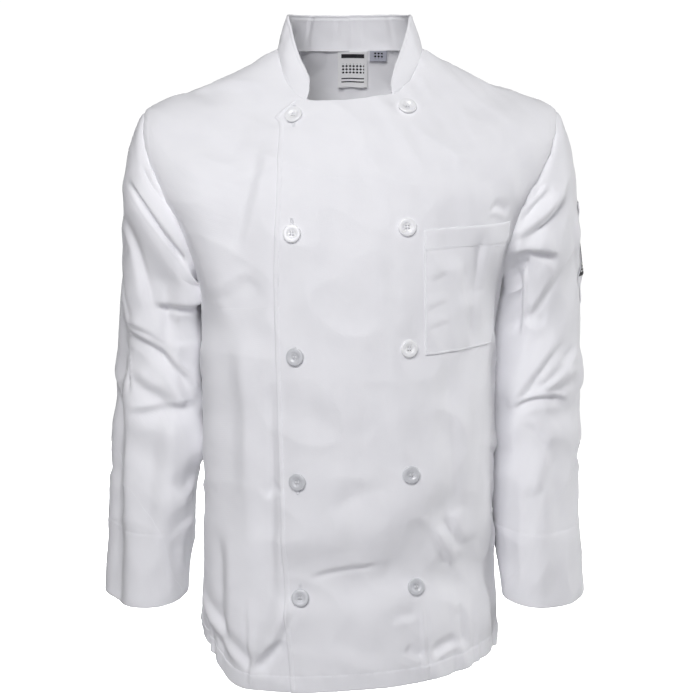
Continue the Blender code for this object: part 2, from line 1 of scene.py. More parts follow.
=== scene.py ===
"""Dresses the chef jacket's solids: draped twill, hems, seams, stitching, buttons and labels.

Tables and sizes are in millimetres. The front faces -Y and +X is the wearer's left.
"""

import math
from collections import namedtuple

import bmesh
import bpy
import numpy as np
from mathutils import Matrix, Vector
from mathutils.bvhtree import BVHTree


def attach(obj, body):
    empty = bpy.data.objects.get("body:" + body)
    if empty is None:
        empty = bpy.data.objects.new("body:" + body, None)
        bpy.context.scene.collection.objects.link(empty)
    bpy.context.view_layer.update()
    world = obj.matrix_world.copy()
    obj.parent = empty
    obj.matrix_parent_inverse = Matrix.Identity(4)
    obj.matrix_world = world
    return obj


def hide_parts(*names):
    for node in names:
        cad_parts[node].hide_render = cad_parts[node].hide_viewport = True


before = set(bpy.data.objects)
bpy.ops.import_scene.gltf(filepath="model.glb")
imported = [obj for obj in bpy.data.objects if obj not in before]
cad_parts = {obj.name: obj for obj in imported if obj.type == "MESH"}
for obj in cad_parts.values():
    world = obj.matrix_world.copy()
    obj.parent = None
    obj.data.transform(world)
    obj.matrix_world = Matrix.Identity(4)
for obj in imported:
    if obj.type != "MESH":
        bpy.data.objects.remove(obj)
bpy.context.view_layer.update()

MM = 0.001

# ---------------------------------------------------------------- the jacket's form, as cut
# A section round the body at a share up from hem to neck: half its width, its depth before and
# behind, and its height at the side, front and back. A higher square makes it boxier; with a higher
# fall it takes the side's height only near the side seams.
BodySection = namedtuple(
    "BodySection", "up half_width front back z_side z_front z_back square fall")
BODY = (
    BodySection(0.000, 168, 131, 120, -660, -679, -671, 2.35, 5.0),
    BodySection(0.070, 166, 130, 119, -612, -628, -621, 2.35, 5.0),
    BodySection(0.150, 163, 129, 118, -557, -568, -564, 2.35, 5.0),
    BodySection(0.330, 162, 127, 116, -432, -440, -438, 2.35, 6.0),
    BodySection(0.470, 162, 126, 117, -334, -344, -341, 2.40, 9.0),
    BodySection(0.590, 168, 124, 118, -246, -262, -258, 2.45, 12.0),
    BodySection(0.715, 198, 119, 117, -150, -192, -180, 2.50, 12.0),
    BodySection(0.840, 222, 107, 108, -65, -130, -104, 2.40, 5.0),
    BodySection(0.920, 151, 92, 97, -36, -92, -46, 2.20, 4.0),
    BodySection(1.000, 79, 70, 73, 0, -53, 2, 2.10, 5.0),
)
LEAN = 0.10                # the front hangs lower toward the wearer's right
ARMPIT, SHOULDER = 0.590, 0.840
ARMHOLE_CUT = math.radians(27)      # the armhole's half width, as a turn round the body
ARMHOLE_MIDDLE, ARMHOLE_REACH = (ARMPIT + SHOULDER) / 2, (SHOULDER - ARMPIT) / 2
ARMHOLE_FADE = 0.45        # folds start this far outside the armhole, as a share of its size
SLEEVE_FADE = 0.09         # ... and this far down the sleeve, as a share of its length
EDGE_SHARE = 2e-4          # shares are kept this far inside a surface where its normals are taken

EdgePoint = namedtuple("EdgePoint", "up x")
FREE_EDGE = (               # of the lapped front
    EdgePoint(0.00, -63), EdgePoint(0.09, -68), EdgePoint(0.28, -74), EdgePoint(0.45, -77),
    EdgePoint(0.65, -79), EdgePoint(0.80, -76), EdgePoint(1.00, -74))
UNDER_EDGE = (              # of the front under it
    EdgePoint(0.00, 83), EdgePoint(0.15, 79), EdgePoint(0.50, 75), EdgePoint(0.90, 74),
    EdgePoint(1.00, 73))
LAP_END = (                 # where the lapped front starts to come down
    EdgePoint(0.00, 90), EdgePoint(0.50, 84), EdgePoint(0.90, 80), EdgePoint(0.965, 75),
    EdgePoint(1.00, 50))
LAP = 2.6                  # the lapped front stands off the one under it
LAP_TOP, LAP_TOP_UP, LAP_TOP_EASE = 1.1, 0.86, 0.15     # ... less near the neck
LAP_EASE = 24              # and eases back down over this width
COLLAR_FRONT_X = (-44, 50)  # the collar's two front ends
FLAP_DROP = 0.033          # past the collar's end, each front's top edge runs below the neck ...
FLAP_TURN = math.radians(22)  # ... and gets there within this turn

# A section round a sleeve at a share along from shoulder to cuff: its outer and inner line, half
# its depth, its middle's place from front to back, and how far its front dips
SleeveSection = namedtuple(
    "SleeveSection", "along outer_x outer_z inner_x inner_z half_depth mid_y front_dip square")
SLEEVE = (
    SleeveSection(0.00, 222, -65, 168, -246, 76, 0, 0, 2.0),
    SleeveSection(0.06, 237, -85, 170, -252, 76, 2, 0, 2.0),
    SleeveSection(0.12, 245, -108, 170, -259, 75, 5, 0, 2.1),
    SleeveSection(0.20, 249, -142, 167, -268, 73, 10, 0, 2.2),
    SleeveSection(0.28, 251, -182, 164, -281, 70, 15, 0, 2.2),
    SleeveSection(0.38, 255, -242, 160, -306, 67, 21, 0, 2.2),
    SleeveSection(0.50, 261, -318, 158, -350, 64, 26, 0, 2.2),
    SleeveSection(0.62, 262, -396, 158, -410, 61, 26, 0, 2.2),
    SleeveSection(0.75, 261, -466, 160, -472, 58, 20, 2, 2.1),
    SleeveSection(0.88, 264, -545, 166, -548, 55, 10, 4, 2.1),
    SleeveSection(1.00, 267, -607, 174, -610, 52, 3, 6, 2.1),
)
CAP_BLEND = 0.20           # the sleeve leaves the armhole's own outline over this share
RIGHT_SWING = 13           # the wearer's right arm hangs this much further out ...
SWING_TOP, SWING_LOW = -290, -490   # ... between these heights
SLEEVE_TUCK = 3.0          # the sleeve's allowance runs this far in under the body ...
TUCK_SPREAD, TUCK_UNDER = 1.06, 4   # ... toward a wider armhole, so many layers down

# A fold runs between two places as seen from one side; across is x from the front and the back,
# and y from the sides. A positive depth stands out.
Fold = namedtuple("Fold", "seen_from across_0 z_0 across_1 z_1 half_width depth")
BODY_FOLDS = (
    Fold("front", -66, -250, -84, -500, 17, -3.9),     # trough beside the free edge
    Fold("front", -165, -150, -112, -330, 24, 4.5),    # drape from the armhole to the waist
    Fold("front", -118, -90, -104, -290, 18, -3.0),
    Fold("front", -150, -330, -148, -600, 20, 9.0),    # the side hangs forward before it turns
    Fold("front", -122, -560, -122, -690, 18, 3.9),    # hem tube on the wearer's right
    Fold("front", -104, -665, -62, -600, 12, 2.7),     # pull up to the lowest button
    Fold("front", -30, -596, 55, -580, 16, 2.4),       # drag line between the lowest buttons
    Fold("front", 95, -490, -35, -620, 26, -3.6),      # slack across the belly
    Fold("front", 120, -400, 40, -520, 22, 3.0),
    Fold("front", 132, -450, 154, -560, 16, 3.6),      # short folds at the wearer's left waist
    Fold("front", 118, -140, 160, -215, 22, 3.9),      # bulge over the chest pocket
    Fold("front", 158, -240, 120, -340, 16, -3.0),
    Fold("front", -165, -45, -85, -72, 16, -3.0),      # dips below the shoulders
    Fold("front", 160, -50, 100, -72, 16, -2.4),
    Fold("front", 20, -230, 60, -420, 30, 3.4),
    Fold("front", -38, -558, 125, -562, 34, -9.0),     # slack rolling under the belly
    Fold("front", -50, -520, 70, -470, 26, 4.0),
    Fold("left", 24, -262, 30, -480, 28, -7.8),        # hollows where the arms lie
    Fold("right", 26, -262, 32, -455, 26, -4.0),
    Fold("back", -125, -110, -70, -320, 24, 4.2),      # back: long drapes from the shoulder blades
    Fold("back", 122, -110, 75, -330, 24, 4.2),
    Fold("back", -24, -330, -60, -670, 26, -4.2),
    Fold("back", 40, -360, 55, -670, 24, -4.2),
    Fold("back", -95, -490, 95, -455, 20, 3.0),
    Fold("back", -100, -400, 100, -415, 18, -2.4),
)
SLEEVE_FOLDS = {
    "left": (
        Fold("front", 208, -150, 186, -230, 14, -2.7),
        Fold("front", 250, -190, 180, -262, 15, 3.4),
        Fold("front", 180, -270, 176, -340, 16, -3.1),
        Fold("front", 258, -345, 165, -425, 16, 3.8),
        Fold("front", 180, -400, 232, -395, 14, -2.7),
        Fold("front", 235, -250, 212, -330, 14, -2.2),
        Fold("front", 188, -262, 184, -298, 30, -11.0),          # hollow over the elbow
        Fold("front", 168, -240, 168, -440, 11, -4.0),           # the side that faces the body
        Fold("front", 212, -460, 222, -560, 16, 2.0),
        Fold("left", 10, -330, 50, -395, 16, -2.2),
        Fold("left", -25, -420, 55, -440, 16, 2.2),
        Fold("back", 200, -180, 240, -300, 18, 2.9),
        Fold("back", 185, -350, 250, -400, 16, -3.4),
        Fold("back", 190, -425, 240, -485, 16, 2.7),
    ),
    "right": (
        Fold("front", -173, -246, -170, -450, 14, 11.0),         # the inner side rolls to the body
        Fold("left", -56, -292, -38, -490, 26, 15.0),            # and presses against it
        Fold("front", -184, -312, -179, -342, 32, -12.0),        # hollow over the elbow
        Fold("front", -265, -215, -267, -600, 13, -12.0),        # its outer side falls away
        Fold("front", -240, -160, -180, -240, 15, 3.1),
        Fold("front", -240, -215, -176, -290, 15, -3.1),
        Fold("front", -262, -250, -195, -350, 15, 3.1),
        Fold("front", -266, -370, -180, -440, 16, 3.8),
        Fold("front", -250, -320, -200, -370, 14, -2.2),
        Fold("front", -230, -440, -180, -480, 15, -2.7),
        Fold("front", -262, -440, -250, -550, 14, 2.0),
        Fold("right", 10, -370, 50, -430, 14, -1.8),
        Fold("right", 5, -170, 35, -260, 16, -2.2),
        Fold("back", -200, -190, -240, -300, 18, 2.9),
        Fold("back", -185, -350, -255, -390, 16, -3.4),
        Fold("back", -190, -430, -245, -495, 16, 2.7),
    ),
}
FOLD_END = 1.6             # a fold dies out over this many half widths past its ends
Gathers = namedtuple("Gathers", "start stop count depth")
HEM_GATHERS = (             # between two turns round the hem, in degrees from the front centre
    Gathers(-98, -50, 6, 2.6), Gathers(34, 90, 6, 2.4), Gathers(110, 250, 9, 2.2))
GATHER_UP = 0.075          # they die out this far up
PullUp = namedtuple("PullUp", "middle reach lift up")
PULL_UP = PullUp(-84, 30, 21, 0.16)   # the gathered side hangs higher

# ---------------------------------------------------------------- creases, each laid one by one
# A crease runs between two places as seen from one side, bowed sideways in the middle. A positive
# depth stands out. A positive lean makes its lower flank steep, with a slack hollow under it; on an
# upright crease that is its flank toward the wearer's left.
Crease = namedtuple("Crease", "seen_from across_0 z_0 across_1 z_1 bow half_width depth lean")
BODY_CREASES = (
    Crease("front", -165, -46, -95, -47, -4, 7, -2.5, -0.3),     # strain from the shoulder seam
    Crease("front", -84, -100, -114, -214, 2, 11, 2.8, -0.6),    # drape down from the shoulder
    Crease("front", -132, -268, -96, -242, -4, 12, -2.0, -0.3),
    Crease("front", -128, -290, -126, -480, 2, 10, -1.6, 0.0),   # pleats beside the free edge
    Crease("front", -109, -300, -107, -590, -2, 11, 2.2, 0.3),
    Crease("front", -88, -320, -87, -610, 2, 8, -3.4, 0.3),
    Crease("front", -93, -472, -74, -459, -2, 6, -1.8, 0.3),
    Crease("front", -128, -515, -127, -655, 4, 10, 5.4, -0.5),
    Crease("front", -151, -586, -103, -662, 4, 6, -3.6, 0.2),    # gathered up at the side
    Crease("front", -152, -606, -116, -664, 2, 6, 2.0, 0.3),
    Crease("front", -107, -585, -105, -682, 0, 3, 2.4, -0.5),    # pressed edge of the turned hem
    Crease("front", -104, -652, -68, -586, 2, 9, 4.8, 0.2),      # pulled from the lowest button
    Crease("front", -99, -665, -72, -628, -2, 6, -5.0, -0.2),
    Crease("front", -44, -553, 30, -538, -2, 6, 2.4, 0.8),       # drag line off the lowest button
    Crease("front", 92, -506, 118, -548, 1, 7, 2.8, 0.5),        # short folds at the waist
    Crease("front", 108, -490, 126, -528, -1, 7, 3.2, 0.5),
    Crease("front", 121, -330, 126, -520, -2, 13, 1.8, -0.5),    # edge of the flank
    Crease("front", 113, -218, 129, -318, 3, 7, 3.2, -0.6),      # slack over the pocket
    Crease("front", 147, -186, 137, -300, -2, 7, 2.0, -0.5),
    Crease("front", 134, -196, 131, -262, 0, 6, -2.2, 0.0),
    Crease("front", 78, -266, 101, -258, -1, 4, 1.2, 0.4),
    Crease("front", 80, -286, 104, -280, -1, 4, 1.2, 0.4),
    Crease("front", 82, -236, 98, -226, -1, 6, 1.3, 0.4),
    Crease("front", 146, -164, 165, -171, -3, 5, -3.2, 0.2),     # pinch over the pocket's corner
    Crease("front", 79, -586, 82, -680, 0, 2.2, 2.2, 0.7),       # hidden edge, pressed through
    Crease("front", 88, -642, 118, -633, -2, 6, -3.8, 0.0),      # hem pulled up at the side
    Crease("front", 121, -596, 125, -642, 0, 5, -3.2, 0.2),
    Crease("front", 44, -602, 72, -596, -1, 6, -2.0, 0.2),
    Crease("front", 60, -634, 78, -644, 1, 5, -3.0, 0.2),
    Crease("front", 146, -560, 152, -640, 2, 6, 3.0, 0.3),
    Crease("front", 20, -100, 70, -150, 6, 18, 1.2, 0.2),
    Crease("front", -30, -205, 10, -300, 8, 20, -1.4, 0.2),
    Crease("front", -40, -350, 30, -380, 6, 20, 1.4, 0.3),
    Crease("front", 30, -330, 22, -440, 4, 22, -1.3, 0.2),
    Crease("front", -30, -470, 30, -440, -6, 16, 1.8, 0.4),
    Crease("front", -20, -620, 40, -640, 4, 14, -1.8, 0.2),
    Crease("front", 120, -110, 150, -140, 4, 14, -1.4, 0.2),
    Crease("front", -150, -95, -118, -110, 2, 12, -1.4, 0.2),
    Crease("left", -40, -300, 40, -360, 8, 8, -3.2, 0.4),
    Crease("left", -60, -420, 30, -470, -6, 9, 3.2, 0.4),
    Crease("left", -20, -520, 60, -600, 5, 8, 2.7, -0.4),
    Crease("right", -50, -330, 30, -380, 6, 8, 3.2, 0.4),
    Crease("right", -60, -460, 40, -500, -6, 9, -2.7, 0.4),
    Crease("right", -10, -540, 60, -620, 5, 8, 2.7, 0.4),
    Crease("back", -150, -170, -90, -260, 8, 9, 3.5, 0.5),
    Crease("back", 150, -165, 96, -250, 8, 9, 3.5, -0.5),
    Crease("back", -60, -90, 60, -84, 6, 12, -2.2, 0.3),
    Crease("back", -110, -440, 20, -470, 8, 9, 3.2, 0.5),
    Crease("back", 110, -425, -10, -452, 6, 8, 2.7, -0.4),
    Crease("back", -30, -520, -45, -660, -4, 8, -3.0, 0.5),
    Crease("back", 70, -530, 84, -665, -4, 8, 3.0, 0.5),
    Crease("back", -100, -560, -112, -668, -3, 7, 2.7, -0.4),
)
SLEEVE_CREASES = {
    "left": (
        Crease("front", 208, -116, 188, -144, -2, 3.5, 2.6, 0.6),    # pinch on the armhole seam
        Crease("front", 204, -134, 191, -147, 0, 2.2, -2.8, 0.0),
        Crease("front", 203, -138, 184, -176, 0, 7, -3.0, 0.0),
        Crease("front", 214, -147, 178, -184, 0, 4.2, -3.7, -0.3),   # strain into the armpit
        Crease("front", 230, -148, 190, -186, 2, 8, 3.6, 0.3),
        Crease("front", 240, -142, 179, -204, 10, 7.5, -4.7, -0.2),
        Crease("front", 172, -216, 222, -216, -5, 8, 7.0, 0.85),     # edge over the hollow
        Crease("front", 170, -230, 198, -232, -2, 9, -4.0, -0.4),
        Crease("front", 225, -224, 188, -290, 2, 8, 3.4, 0.3),
        Crease("front", 176, -240, 169, -310, 0, 8, -4.5, 0.0),
        Crease("front", 186, -286, 216, -292, 2, 9, -2.2, 0.0),
        Crease("front", 229, -312, 177, -390, -3, 7.5, 4.1, 0.5),      # elbow
        Crease("front", 248, -322, 205, -369, 3, 3.6, -3.4, 0.0),
        Crease("front", 244, -344, 210, -366, 2, 12, 5.0, 0.6),
        Crease("front", 183, -391, 239, -382, -8, 4.8, -4.6, -0.6),
        Crease("front", 198, -402, 224, -432, -4, 8, 2.2, 0.3),
        Crease("front", 218, -438, 199, -488, 2, 8, 2.2, 0.3),
        Crease("front", 228, -470, 236, -540, -2, 11, -2.2, 0.0),
        Crease("front", 178, -470, 178, -590, 0, 9, -3.0, 0.0),
        Crease("front", 206, -520, 210, -600, 2, 13, 2.2, 0.2),
        Crease("left", -30, -180, 20, -260, 6, 8, 3.2, 0.4),
        Crease("left", 60, -340, -20, -380, -5, 8, 2.4, 0.5),
        Crease("left", -10, -440, 50, -470, 5, 8, -1.8, 0.4),
        Crease("back", 180, -230, 236, -260, 7, 7, 4.8, 0.6),
        Crease("back", 176, -300, 236, -350, 7, 7, -4.8, 0.5),
        Crease("back", 250, -420, 190, -450, -6, 7, 4.5, 0.5),
        Crease("back", 220, -500, 206, -590, -4, 8, 2.6, 0.4),
    ),
    "right": (
        Crease("front", -208, -104, -178, -129, -5, 2.8, -3.8, 0.3),   # strain from the armhole
        Crease("front", -217, -123, -190, -166, 2, 5, 3.8, 0.9),
        Crease("front", -196, -163, -172, -171, 1, 4, 3.0, 0.9),
        Crease("front", -232, -139, -172, -222, 0, 6, 5.2, 0.9),       # long pull into the armpit
        Crease("front", -236, -143, -178, -224, 0, 2.2, -3.4, 0.0),
        Crease("front", -216, -148, -176, -196, 0, 9, 1.8, 0.0),
        Crease("front", -184, -176, -163, -222, 2, 2.8, -1.6, 0.2),
        Crease("front", -181, -188, -164, -222, 1, 4, 2.4, 0.0),
        Crease("front", -247, -180, -219, -290, -1, 8, 4.6, -0.9),     # front edge of the upper arm
        Crease("front", -253, -245, -242, -300, 0, 5, 1.6, -0.9),
        Crease("front", -212, -273, -160, -270, 0, 8, 5.6, 0.9),       # edge over the hollow
        Crease("front", -190, -286, -186, -320, 0, 12, -2.0, 0.0),
        Crease("front", -246, -292, -190, -335, -10, 9, 4.0, 0.5),
        Crease("front", -254, -306, -178, -374, -13, 6, -6.4, -0.4),   # elbow
        Crease("front", -238, -345, -180, -384, 0, 13, 6.0, 0.5),
        Crease("front", -254, -322, -243, -374, 0, 2.4, -3.6, -0.4),
        Crease("front", -242, -399, -177, -390, 0, 8, -4.4, -0.3),
        Crease("front", -171, -392, -168, -448, 0, 4, -3.0, 0.0),
        Crease("front", -198, -486, -165, -446, 2, 8, -3.0, 0.3),
        Crease("front", -201, -505, -167, -468, 0, 9, 1.8, 0.4),
        Crease("front", -199, -528, -163, -476, 2, 8, -3.2, 0.3),
        Crease("front", -250, -385, -252, -520, 0, 9, 2.4, -0.6),
        Crease("front", -216, -440, -226, -590, 4, 14, 2.4, 0.2),
        Crease("front", -196, -540, -186, -600, 2, 9, -2.0, 0.2),
        Crease("right", -20, -190, 30, -250, 6, 9, 1.6, 0.4),
        Crease("right", 60, -330, -10, -390, -5, 8, 2.2, 0.5),
        Crease("right", -10, -450, 50, -480, 5, 8, -1.6, 0.4),
        Crease("back", -180, -220, -240, -262, -7, 7, 4.8, 0.6),
        Crease("back", -176, -310, -232, -350, 7, 8, -3.8, 0.5),
        Crease("back", -244, -430, -192, -462, 6, 8, 3.6, 0.5),
        Crease("back", -226, -500, -216, -590, 4, 8, 2.6, 0.4),
    ),
}
CREASE_ROUND = 0.28        # the rounding of a crease's crest, in half widths
CREASE_REACH = 1.45        # its flat flanks reach this many half widths
CREASE_FOOT = 0.15         # how softly a flank runs out into the cloth
CREASE_LEAN = 0.75         # how much one flank steepens at a lean of 1
CREASE_HOLLOW = 0.50       # the slack hollow beside it, as a share of its depth
HOLLOW_WIDTH = 0.6         # ... and its width, in half widths
CREASE_TAPER = 0.3         # a crease swells and dies out over this share of its length
UPRIGHT = 0.1              # a crease that runs less across than this is an upright one
FACING = 2.2               # how fast a fold or crease dies out where the cloth turns from its side

# ---------------------------------------------------------------- sewing
CLOTH = 0.9                # one layer as it hangs, with its nap
HEM_TURN = 18              # the body's hem is turned up this far and stitched down
CUFF_TURN = 84
FRONT_TURN = 5             # the lapped front's edge is turned under this far
NECK_TURN = 4              # the mesh is fine this far below the neckline
STITCH_PITCH, STITCH_LENGTH = 2.9, 2.2
STITCH_STATIONS = np.array([0.0, 0.16, 0.5, 0.84, 1.0])             # shares along a stitch ...
STITCH_HEIGHTS = np.array([-0.35, 0.10, 0.20, 0.10, -0.35]) + 0.12  # ... and its height there
THREAD, THREAD_SIDES = 0.42, 5      # thread thickness, and flats round it
EDGE_ROUND = 0.45          # how far a panel's edges stand out, as a share of their thickness
CELL = 2.35                # the cloth's mesh, away from the edges
CELL_FINE = 0.9            # ... and at them
SAMPLES_A_MM = 8           # lengths are sampled this finely to grade the mesh
BACK_CELL, SLEEVE_CELL, COLLAR_CELL = 3.1, 2.0, 2.4
PATCH_CELL, LABEL_CELL, PATCH_CELL_FINE = 2.6, 1.6, 0.7
SLEEVE_COLUMNS = 186
SLEEVE_CROWDING = 0.42     # its columns lie closer at the front, where it is creased most

BUTTON_WIDTH = 19.0
BUTTON_GAP = 0.3           # a button's back clears the cloth by this much
BUTTON_STEPS = 48          # flats round a button
ButtonRow = namedtuple("ButtonRow", "lapped_x lapped_z sewn_x sewn_z")
BUTTON_ROWS = (
    ButtonRow(-59, -70, 60, -61),
    ButtonRow(-60, -190, 59, -183),
    ButtonRow(-57, -318, 61, -309),
    ButtonRow(-55, -451, 64, -442),
    ButtonRow(-53, -579, 70, -568),
)

BUTTON_TURNING = (          # half a button's outline, radius and height, round to its back
    (0.0, 1.75), (2.7, 1.75), (3.4, 1.80), (4.3, 2.15), (5.0, 2.65), (5.5, 2.85), (6.4, 2.95),
    (7.6, 2.98), (8.5, 2.85), (9.1, 2.50), (9.4, 2.00), (9.5, 1.50), (9.3, 0.80), (8.7, 0.25),
    (7.6, 0.0), (0.0, 0.0))
BUTTON_HOLE = 0.9          # radius of each of its four holes
BUTTON_HOLES_OUT = 1.35    # their distance from the middle lines
DRILL_LENGTH = 6
BUTTON_FLOOR = 1.47        # thread lies this high above a button's back, ...
THREAD_BOW = 0.55          # ... bowed up by this much
THREAD_HALF = 1.3          # it reaches this far either way from its middle
STRANDS = (-0.45, 0.0, 0.45)        # threads side by side in each pair of holes
HOLE_SHIFTS = (0, 5, 0, -3, 4)      # each buttonhole's middle above its button's
WHITE_LAPPED, WHITE_SEWN = 2, 3     # so many from the top are white; the rest are a greyer copy of the same button, painted shade lower down the front
BUTTONHOLE, BUTTONHOLE_PITCH = 20.0, 0.62   # its length, and that of its close stitches
LIP_STATIONS = np.array([0.25, 0.7, 1.15, 1.6, 1.9])        # of a stitch over a lip, from the slit

# The collar from the wearer's left front end round the back, in degrees from the front centre
CollarSection = namedtuple("CollarSection", "turn height lean")
COLLAR = (
    CollarSection(33.0, 7, 2), CollarSection(35.0, 16, 4), CollarSection(39.0, 25, 6),
    CollarSection(46.0, 31, 9), CollarSection(58.0, 35, 12), CollarSection(74.0, 37, 14),
    CollarSection(92.0, 39, 13), CollarSection(130.0, 39, 11),
    CollarSection(180.0, 39, 10), CollarSection(230.0, 39, 10), CollarSection(270.0, 39, 11),
    CollarSection(292.0, 37, 13), CollarSection(306.0, 31, 14), CollarSection(316.0, 26, 14),
    CollarSection(322.0, 20, 11), CollarSection(325.5, 9, 5),
)
Dent = namedtuple("Dent", "turn half_width depth")
COLLAR_DENTS = (            # upright dents pressed into the collar
    Dent(142, 2.6, -1.2), Dent(171, 3.5, 0.8), Dent(190, 1.6, -0.7), Dent(218, 2.2, -1.4),
    Dent(248, 5.0, 1.2), Dent(285, 4.0, -1.0), Dent(70, 5.0, 1.0), Dent(104, 4.0, -1.0))
COLLAR_WALL = 2.2
COLLAR_TUCK = 1.5          # the collar is sewn over the neckline by this much
COLLAR_ROWS = 5            # its edge stitching lies this far in
COLLAR_FOOT_ROW = 2.0      # ... and the row along its foot this far up

POCKET_BOTTOM, POCKET_TOP = 0.500, 0.715          # shares up the body
POCKET_LEFT = (
    EdgePoint(0.00, 87), EdgePoint(0.50, 78), EdgePoint(0.715, 76), EdgePoint(1.00, 76))
POCKET_RIGHT = (EdgePoint(0.50, 153), EdgePoint(0.715, 167))
POCKET_WIDTH = 92          # at its widest, for the spread of its mesh
POCKET_OUT = 1.35
POCKET_HEM, SLEEVE_POCKET_HEM = 22, 12
PATCH_ROW = 2.0            # a patch's edge stitching
SleevePatch = namedtuple("SleevePatch", "start stop front rear")
SLEEVE_POCKET = SleevePatch(0.245, 0.435, 18, -54)
SLEEVE_LABEL = SleevePatch(0.300, 0.385, 18, 0)
LABEL_OUT = 0.9            # a label stands off the cloth by this much
LABEL_WALL = 0.4
LABEL_TOP = 0.999          # the back labels are caught in the neck seam here
BackLabel = namedtuple("BackLabel", "left right low")
NECK_LABEL = BackLabel(-14, 20, 0.932)
SIZE_LABEL = BackLabel(23, 42, 0.981)
Band = namedtuple("Band", "foot head lozenges")      # millimetres up a label
NECK_FIGURE = (Band(6, 7.5, False), Band(10, 11.5, False), Band(17, 29, True), Band(36, 41, False))
SIZE_FIGURE = (Band(3, 11, True),)
SLEEVE_FIGURE = (Band(5, 47, True),)
LOZENGE = 4.0              # from one lozenge's middle to the next
LOZENGE_FILL = 0.42        # its half width and half height, as a share of that
# The cut of what shows of each piece, hems and cuffs already turned; area is the cut's real area
Cut = namedtuple("Cut", "width length area held rests_on")

RIPPLE_WAVES, RIPPLE_PEAK = 6, 3.2  # a ripple is this many waves, together this high ...
GOLDEN_TURN = 2.399        # ... each turned from the last by the golden angle
FACE_WAYS = {"front": (0, -1, 0), "back": (0, 1, 0), "left": (1, 0, 0), "right": (-1, 0, 0)}


# ---------------------------------------------------------------- tables and surfaces
def read_table(table, at):
    """The table's row at a first-column value, on a smooth curve through its rows."""
    rows = np.asarray(table, float)
    key = rows[:, 0]
    slope = np.gradient(rows, key, axis=0)
    at = np.clip(np.asarray(at, float), key[0], key[-1])
    low = np.clip(np.searchsorted(key, at, side="right") - 1, 0, len(key) - 2)
    span = (key[low + 1] - key[low])[..., None]
    part = (at - key[low])[..., None] / span
    value = (rows[low] * (2 * part**3 - 3 * part**2 + 1)
             + rows[low + 1] * (3 * part**2 - 2 * part**3)
             + slope[low] * span * (part**3 - 2 * part**2 + part)
             + slope[low + 1] * span * (part**3 - part**2))
    return type(table[0])(*np.moveaxis(value, -1, 0))


def ease(share):
    """Smooth step from 0 to 1."""
    share = np.clip(share, 0, 1)
    return share * share * (3 - 2 * share)


def bump_at(distance, half_width):
    """A soft bump, 1 on the line and 0 away from it."""
    return np.exp(-(distance / half_width) ** 2)


def signed_power(value, power):
    """A power that keeps the value's sign."""
    return np.sign(value) * np.abs(value) ** power


def ripple(first, second, wave, seed):
    """Uneven ripples between -1 and 1, some wave millimetres long, the same on every run."""
    total = np.zeros(np.broadcast(first, second).shape)
    for k in range(1, RIPPLE_WAVES + 1):
        turn = GOLDEN_TURN * k + seed
        pace = 2 * math.pi / (wave * (0.6 + 0.17 * k))
        run = first * math.cos(turn) + second * math.sin(turn)
        total += np.sin(pace * run + 1.7 * k * seed + k)
    return total / RIPPLE_PEAK


def body_skin(turn, up):
    """Point on the plain body; turn is the angle from the front centre to the wearer's left."""
    row = read_table(BODY, up)
    side, ahead = np.sin(turn), np.cos(turn)
    x = row.half_width * signed_power(side, 2 / row.square)
    y = -np.where(ahead > 0, row.front, row.back) * signed_power(ahead, 2 / row.square)
    low = 1 - np.abs(side) ** row.fall
    z = row.z_side + (np.where(ahead > 0, row.z_front, row.z_back) - row.z_side) * low
    z = z + LEAN * row.half_width * side * np.maximum(ahead, 0)
    beside = (np.degrees(turn) - PULL_UP.middle + 180) % 360 - 180
    z = z + PULL_UP.lift * np.exp(-(beside / PULL_UP.reach) ** 4) * (1 - ease(up / PULL_UP.up))
    return np.stack([x, y, z], -1)


def turn_at(x, up):
    """Angle on the front at which the body has this x."""
    row = read_table(BODY, up)
    share = np.clip(np.abs(x) / row.half_width, 0, 0.9999)
    return np.sign(x) * np.arcsin(share ** (row.square / 2))


def seen_from_side(points, normals, mark):
    """A mark is a fold or a crease: its length, its run across and up, each point's place along and
    beside it, and how fully the cloth there faces the side that the mark is seen from."""
    way = np.array(FACE_WAYS[mark.seen_from], float)
    length = math.hypot(mark.across_1 - mark.across_0, mark.z_1 - mark.z_0)
    run_across = (mark.across_1 - mark.across_0) / length
    run_up = (mark.z_1 - mark.z_0) / length
    off_across = points[..., 0 if way[0] == 0 else 1] - mark.across_0
    off_up = points[..., 2] - mark.z_0
    along = off_across * run_across + off_up * run_up
    beside = off_across * run_up - off_up * run_across
    return length, run_across, run_up, along, beside, ease(FACING * (normals @ way))


def fold_rise(points, normals, folds):
    """How far the folds raise or sink the cloth at each point."""
    rise = np.zeros(points.shape[:-1])
    for fold in folds:
        length, _, _, along, beside, facing = seen_from_side(points, normals, fold)
        past = np.maximum(np.maximum(-along, along - length), 0)
        bell = np.exp(-(beside / fold.half_width) ** 2 - (past / (FOLD_END * fold.half_width)) ** 2)
        rise += fold.depth * bell * facing
    return rise


def crease_rise(points, normals, creases):
    """The same for the finer creases, bowed and with one steep flank."""
    rise = np.zeros(points.shape[:-1])
    for crease in creases:
        length, run_across, run_up, along, beside, facing = seen_from_side(points, normals, crease)
        share = along / length
        low_side = math.copysign(1, run_across if abs(run_across) > UPRIGHT else run_up)
        beside = beside * low_side - crease.bow * 4 * share * (1 - share)
        steep = 1 - CREASE_LEAN * crease.lean * np.sign(beside)
        flank = beside / crease.half_width / steep
        slope = 1 - (np.hypot(flank, CREASE_ROUND) - CREASE_ROUND) / CREASE_REACH
        crest = (slope + np.hypot(slope, CREASE_FOOT)) / 2
        hollow_at = math.copysign(1.3 - 0.5 * abs(crease.lean), crease.lean) * crease.half_width
        hollow = bump_at(beside - hollow_at, HOLLOW_WIDTH * crease.half_width)
        taper = ease(share / CREASE_TAPER + 0.25) * ease((1 - share) / CREASE_TAPER + 0.25)
        rise += crease.depth * (crest - CREASE_HOLLOW * hollow) * taper * facing
    return rise


